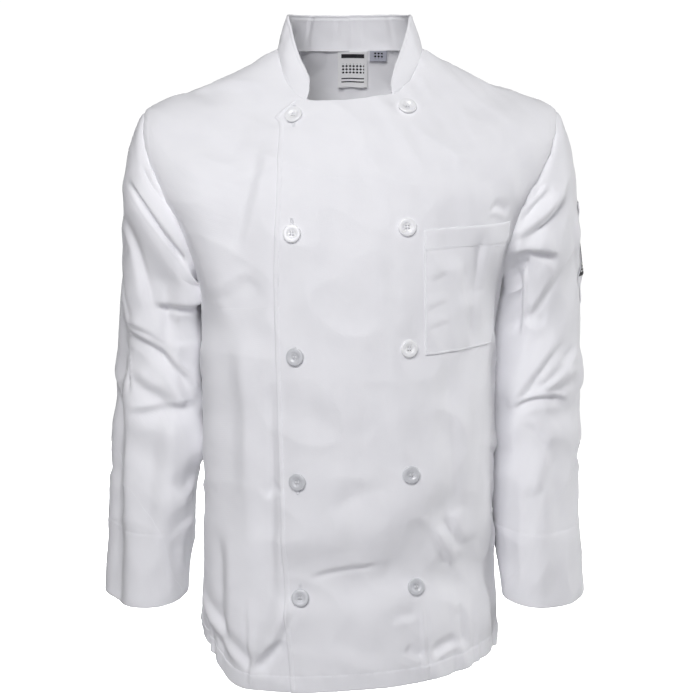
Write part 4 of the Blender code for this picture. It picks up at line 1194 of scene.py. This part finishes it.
def woven_poly_cotton_twill():
    """Bleached poly-cotton twill, woven and calendered: matt, with a faint diagonal rib."""
    finish, tree, shader = new_finish("woven_poly_cotton_twill", "#F5F5F7", {
        "Roughness": 0.86, "Sheen Weight": 0.12, "Sheen Roughness": 0.45, "IOR": 1.46})
    cloth = add_node(tree, "ShaderNodeUVMap", uv_map="cloth").outputs["UV"]
    # real ribs lie 0.6 mm apart; drawn 1.9 mm apart so that they show as a faint grain
    slant = add_node(tree, "ShaderNodeMapping", {
        "Vector": cloth, "Rotation": (0, 0, math.radians(58))})
    rib = add_node(tree, "ShaderNodeTexWave", {
        "Vector": slant.outputs["Vector"], "Scale": 1 / (1.9 * MM) / WAVE_BANDS, "Distortion": 1.2,
        "Detail": 2.0, "Detail Scale": 3.0})
    slub = add_node(tree, "ShaderNodeTexNoise", {
        "Vector": cloth, "Scale": 1 / (3.5 * MM), "Detail": 3.0})
    crumple = add_node(tree, "ShaderNodeTexNoise", {
        "Vector": cloth, "Scale": 1 / (30 * MM), "Detail": 2.0})
    ribbed = add_node(tree, "ShaderNodeBump", {
        "Height": rib.outputs["Fac"], "Strength": 0.10, "Distance": 0.3 * MM})
    slubbed = add_node(tree, "ShaderNodeBump", {
        "Height": slub.outputs["Fac"], "Normal": ribbed.outputs["Normal"], "Strength": 0.10,
        "Distance": 0.4 * MM})
    crumpled = add_node(tree, "ShaderNodeBump", {
        "Height": crumple.outputs["Fac"], "Normal": slubbed.outputs["Normal"], "Strength": 0.35,
        "Distance": 1.2 * MM})
    tree.links.new(crumpled.outputs["Normal"], shader.inputs["Normal"])
    # tone from the same noise as the crumple bump, a shade darker in its dips: faint painted shade
    # in the crumples' hollows
    tint = add_node(tree, "ShaderNodeValToRGB", {"Fac": crumple.outputs["Fac"]})
    tint.color_ramp.elements[0].color = linear("#F1F1F4")
    tint.color_ramp.elements[1].color = linear("#F7F7F9")
    tree.links.new(tint.outputs["Color"], shader.inputs["Base Color"])
    return finish


def spun_polyester_thread():
    """White spun-polyester sewing thread: slightly brighter and glossier than the twill."""
    finish, tree, shader = new_finish("spun_polyester_thread", "#F8F9FB", {"Roughness": 0.55})
    place = add_node(tree, "ShaderNodeTexCoord")
    ply = add_node(tree, "ShaderNodeTexNoise", {
        "Vector": place.outputs["Object"], "Scale": 1 / (0.6 * MM)})
    twist = add_node(tree, "ShaderNodeBump", {
        "Height": ply.outputs["Fac"], "Strength": 0.3, "Distance": 0.1 * MM})
    tree.links.new(twist.outputs["Normal"], shader.inputs["Normal"])
    return finish


def moulded_polyester_button(name, dark, light):
    """Cast polyester button, turned and tumbled: milky, glossy, faintly clouded."""
    finish, tree, shader = new_finish(name, light, {
        "Roughness": 0.3, "IOR": 1.55, "Coat Weight": 0.25, "Coat Roughness": 0.15,
        "Subsurface Weight": 0.15, "Subsurface Radius": (2 * MM, 2 * MM, 1.8 * MM)})
    place = add_node(tree, "ShaderNodeTexCoord")
    cloud = add_node(tree, "ShaderNodeTexNoise", {
        "Vector": place.outputs["Object"], "Scale": 1 / (6 * MM), "Detail": 3.0})
    tint = add_node(tree, "ShaderNodeValToRGB", {"Fac": cloud.outputs["Fac"]})
    tint.color_ramp.elements[0].color = linear(dark)
    tint.color_ramp.elements[1].color = linear(light)
    tree.links.new(tint.outputs["Color"], shader.inputs["Base Color"])
    return finish


def woven_satin_label(name, ground, figure, bands, wide, margin):
    """Damask-woven polyester label: smooth, slightly shiny, plain bars and lozenges woven in."""
    finish, tree, shader = new_finish(name, ground, {"Roughness": 0.42})
    cloth = add_node(tree, "ShaderNodeUVMap", uv_map="cloth").outputs["UV"]
    split = add_node(tree, "ShaderNodeSeparateXYZ", {"Vector": cloth})
    reach = 0.0
    for axis in ("X", "Y"):
        value = split.outputs[axis]
        for operation, by in (("MULTIPLY", 1 / (LOZENGE * MM)), ("FRACT", 0), ("SUBTRACT", 0.5),
                              ("ABSOLUTE", 0), ("ADD", reach)):
            node = add_node(tree, "ShaderNodeMath", {0: value, 1: by}, operation=operation)
            value = node.outputs[0]
        reach = value
    lozenge = add_node(tree, "ShaderNodeMath", {0: reach, 1: LOZENGE_FILL}, operation="LESS_THAN")
    woven = 0.0
    for band in bands:
        here = add_node(tree, "ShaderNodeMath", {
            0: split.outputs["Y"], 1: (band.foot + band.head) / 2 * MM,
            2: (band.head - band.foot) / 2 * MM}, operation="COMPARE")
        if band.lozenges:
            here = add_node(tree, "ShaderNodeMath", {0: here.outputs[0], 1: lozenge.outputs[0]},
                            operation="MULTIPLY")
        both = add_node(tree, "ShaderNodeMath", {0: woven, 1: here.outputs[0]}, operation="MAXIMUM")
        woven = both.outputs[0]
    inside = add_node(tree, "ShaderNodeMath", {
        0: split.outputs["X"], 1: wide / 2 * MM, 2: (wide / 2 - margin) * MM}, operation="COMPARE")
    woven = add_node(tree, "ShaderNodeMath", {0: woven, 1: inside.outputs[0]}, operation="MULTIPLY")
    mix = add_node(tree, "ShaderNodeMix", data_type="RGBA", inputs={
        "Factor": woven.outputs[0], 6: linear(ground), 7: linear(figure)})
    tree.links.new(mix.outputs[2], shader.inputs["Base Color"])
    # satin floats, drawn at their real 0.4 mm
    floats = add_node(tree, "ShaderNodeTexWave", {
        "Vector": cloth, "Scale": 1 / (0.4 * MM) / WAVE_BANDS})
    satin = add_node(tree, "ShaderNodeBump", {
        "Height": floats.outputs["Fac"], "Strength": 0.15, "Distance": 0.1 * MM})
    tree.links.new(satin.outputs["Normal"], shader.inputs["Normal"])
    return finish


# ---------------------------------------------------------------- the pieces
twill = woven_poly_cotton_twill()
thread = spun_polyester_thread()
white_button = moulded_polyester_button("moulded_white_button", "#F4F5F7", "#FFFFFF")
# a greyer copy of the white button for the lower ones: painted shade where the front hangs in shade
painted_shade_button = moulded_polyester_button("moulded_button_painted_shade", "#CDCFD2", "#E2E3E6")
label_finishes = {
    "neck_label": woven_satin_label(
        "woven_neck_label", "#F4F4F4", "#26262A", NECK_FIGURE, 34, 4.0),
    "size_label": woven_satin_label(
        "woven_size_label", "#B9BBC6", "#1E1E22", SIZE_FIGURE, 19, 4.0),
    "sleeve_label": woven_satin_label(
        "woven_sleeve_label", "#1C1C1F", "#F1F1F1", SLEEVE_FIGURE, 27, 1.0),
}

seams = body_seams()
panels = {
    "left_front": make_left_front(seams),
    "right_front": make_right_front(seams),
    "back": make_back(seams),
    "left_sleeve": make_sleeve(1),
    "right_sleeve": make_sleeve(-1),
    "collar": make_collar(),
}
front_cloth = tree_of(panels["left_front"])
panels["chest_pocket"] = make_chest_pocket(front_cloth)
panels["sleeve_pocket"] = make_sleeve_pocket(tree_of(panels["left_sleeve"]))
for name, panel in panels.items():
    wall = COLLAR_WALL if name == "collar" else CLOTH
    piece = add_piece(name + "_twill", cloth_mesh(panel, wall), twill)
    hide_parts(name)

labels = {
    "neck_label": make_back_label("neck_label", NECK_LABEL, 2.5),
    "size_label": make_back_label("size_label", SIZE_LABEL, 1.0),
    "sleeve_label": make_sleeve_label(tree_of(panels["sleeve_pocket"])),
}
for name, panel in labels.items():
    finish = label_finishes[name]
    piece = add_piece(name + "_woven", cloth_mesh(panel, LABEL_WALL), finish)
    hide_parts(name)

# rows of stitching: so far above the first row, below the last row, and in from the side edges
Rows = namedtuple("Rows", "above below first_side last_side")
STITCHED = {
    "left_front": Rows(HEM_TURN, None, FRONT_TURN, None),
    "right_front": Rows(HEM_TURN, None, None, None),
    "back": Rows(HEM_TURN, None, None, None),
    "left_sleeve": Rows(None, CUFF_TURN, None, None),
    "right_sleeve": Rows(None, CUFF_TURN, None, None),
    "chest_pocket": Rows(PATCH_ROW, POCKET_HEM, PATCH_ROW, PATCH_ROW),
    "sleeve_pocket": Rows(PATCH_ROW, SLEEVE_POCKET_HEM, PATCH_ROW, PATCH_ROW),
    "collar": Rows(COLLAR_FOOT_ROW, None, COLLAR_ROWS, COLLAR_ROWS),
}
for name, rows in STITCHED.items():
    panel = panels[name]
    if rows.above:
        sew(name, *line_along_hem(panel, rows.above))
    if rows.below:
        sew(name, *line_along_hem(panel, float(panel.above[-1].mean()) - rows.below))
    if rows.first_side:
        sew(name, *line_along_edge(panel, rows.first_side))
    if rows.last_side:
        sew(name, *line_along_edge(panel, rows.last_side, from_last=True))

drilled = drill(button_mesh())
for number, (row, shift) in enumerate(zip(BUTTON_ROWS, HOLE_SHIFTS), start=1):
    make_buttonhole(front_cloth, row.lapped_x, row.lapped_z + shift)
    make_button(f"lapped_button_{number}", seat_on(front_cloth, row.lapped_x, row.lapped_z),
                drilled, white_button if number <= WHITE_LAPPED else painted_shade_button)
    make_button(f"sewn_button_{number}", seat_on(front_cloth, row.sewn_x, row.sewn_z),
                drilled, white_button if number <= WHITE_SEWN else painted_shade_button)
make_stitching(thread)

# ---------------------------------------------------------------- studio
FLOOR_Z = -1.40            # where a standing figure's floor would be
FLOOR_REACH, FLOOR_STEPS = 4.5, 96
ROOM_DARK, ROOM_LIGHT = 0.03, 0.05  # the room's glow from the wearer's right and from their left
SWEEP_GLOW = 1.05          # the white sweep behind ...
SWEEP_EDGE = 0.90, 0.95    # ... and where it fades out, as the cosine of the turn from its middle
CHEST = (0, 0, -0.25)      # where most lamps point; places and sizes in metres
Lamp = namedtuple("Lamp", "name place target size watts colour spread")
LAMPS = (
    Lamp("key", (0.0, -1.83, 1.20), CHEST, 0.5, 18.5, "#FFFFFF", 180),
    Lamp("left_light", (-0.70, -1.76, 1.07), CHEST, 0.7, 15.5, "#FFFFFF", 180),
    Lamp("low_fill", (-0.3, -2.2, 0.25), CHEST, 0.6, 9.0, "#F1EFFA", 180),
    Lamp("side_light", (2.11, 0.38, 0.10), CHEST, 0.7, 20.5, "#FFFFFF", 180),
    Lamp("sweep_light", (0, 3.4, 1.0), (0, 3.4, -1.4), 4.0, 210, "#FFFFFF", 70),
    Lamp("back_light", (-1.3, 2.3, 0.9), CHEST, 0.9, 2.5, "#FFFFFF", 180),
)


def make_floor():
    """A round painted floor, wide enough to pass behind the jacket."""
    turns = np.arange(FLOOR_STEPS) * 2 * math.pi / FLOOR_STEPS
    rim = [(FLOOR_REACH * math.cos(a), FLOOR_REACH * math.sin(a), FLOOR_Z) for a in turns]
    data = bpy.data.meshes.new("studio_floor")
    data.from_pydata(rim, [], [tuple(range(FLOOR_STEPS))])
    finish, _, _ = new_finish("painted_floor", "#F2F2F2", {"Roughness": 0.7})
    data.materials.append(finish)
    floor = bpy.data.objects.new("studio_floor", data)
    bpy.context.scene.collection.objects.link(floor)


def add_area_light(lamp):
    """A square lamp that points at its target."""
    light = bpy.data.lights.new(lamp.name, "AREA")
    light.spread = math.radians(lamp.spread)
    light.shape = "SQUARE"
    light.size = lamp.size
    light.energy = lamp.watts
    light.color = linear(lamp.colour)[:3]
    piece = bpy.data.objects.new(lamp.name, light)
    piece.location = lamp.place
    aim = Vector(lamp.target) - Vector(lamp.place)
    piece.rotation_euler = aim.to_track_quat("-Z", "Y").to_euler()
    bpy.context.scene.collection.objects.link(piece)


def light_studio():
    """The room's glow, a lit white sweep behind, and the lamps of the table."""
    world = bpy.data.worlds.new("studio")
    bpy.context.scene.world = world
    world.use_nodes = True
    tree = world.node_tree
    way = add_node(tree, "ShaderNodeTexCoord")
    split = add_node(tree, "ShaderNodeSeparateXYZ", {"Vector": way.outputs["Generated"]})
    sweep = add_node(tree, "ShaderNodeMapRange", {
        "Value": split.outputs["Y"], "From Min": SWEEP_EDGE[0], "From Max": SWEEP_EDGE[1]},
        interpolation_type="SMOOTHSTEP")
    room = add_node(tree, "ShaderNodeMapRange", {
        "Value": split.outputs["X"], "From Min": -1.0, "To Min": ROOM_DARK, "To Max": ROOM_LIGHT})
    strength = add_node(tree, "ShaderNodeMix", {
        "Factor": sweep.outputs["Result"], "A": room.outputs["Result"], "B": SWEEP_GLOW})
    tint = add_node(tree, "ShaderNodeValToRGB", {"Fac": sweep.outputs["Result"]})
    tint.color_ramp.elements[0].color = linear("#E9EAF8")
    tint.color_ramp.elements[1].color = linear("#FFFFFF")
    tree.links.new(strength.outputs["Result"], tree.nodes["Background"].inputs["Strength"])
    tree.links.new(tint.outputs["Color"], tree.nodes["Background"].inputs["Color"])
    for lamp in LAMPS:
        add_area_light(lamp)


def place_camera():
    """A long lens before the chest, tilted a little down."""
    camera = bpy.data.objects.new("camera", bpy.data.cameras.new("camera"))
    camera.location = (0, -1.750, -0.050)
    camera.rotation_euler = (math.radians(90 - 9.1), 0, 0)
    camera.data.lens = 81.41
    camera.data.sensor_width = 36
    bpy.context.scene.collection.objects.link(camera)
    bpy.context.scene.camera = camera


make_floor()
light_studio()
place_camera()
bpy.context.scene.view_settings.view_transform = "Standard"
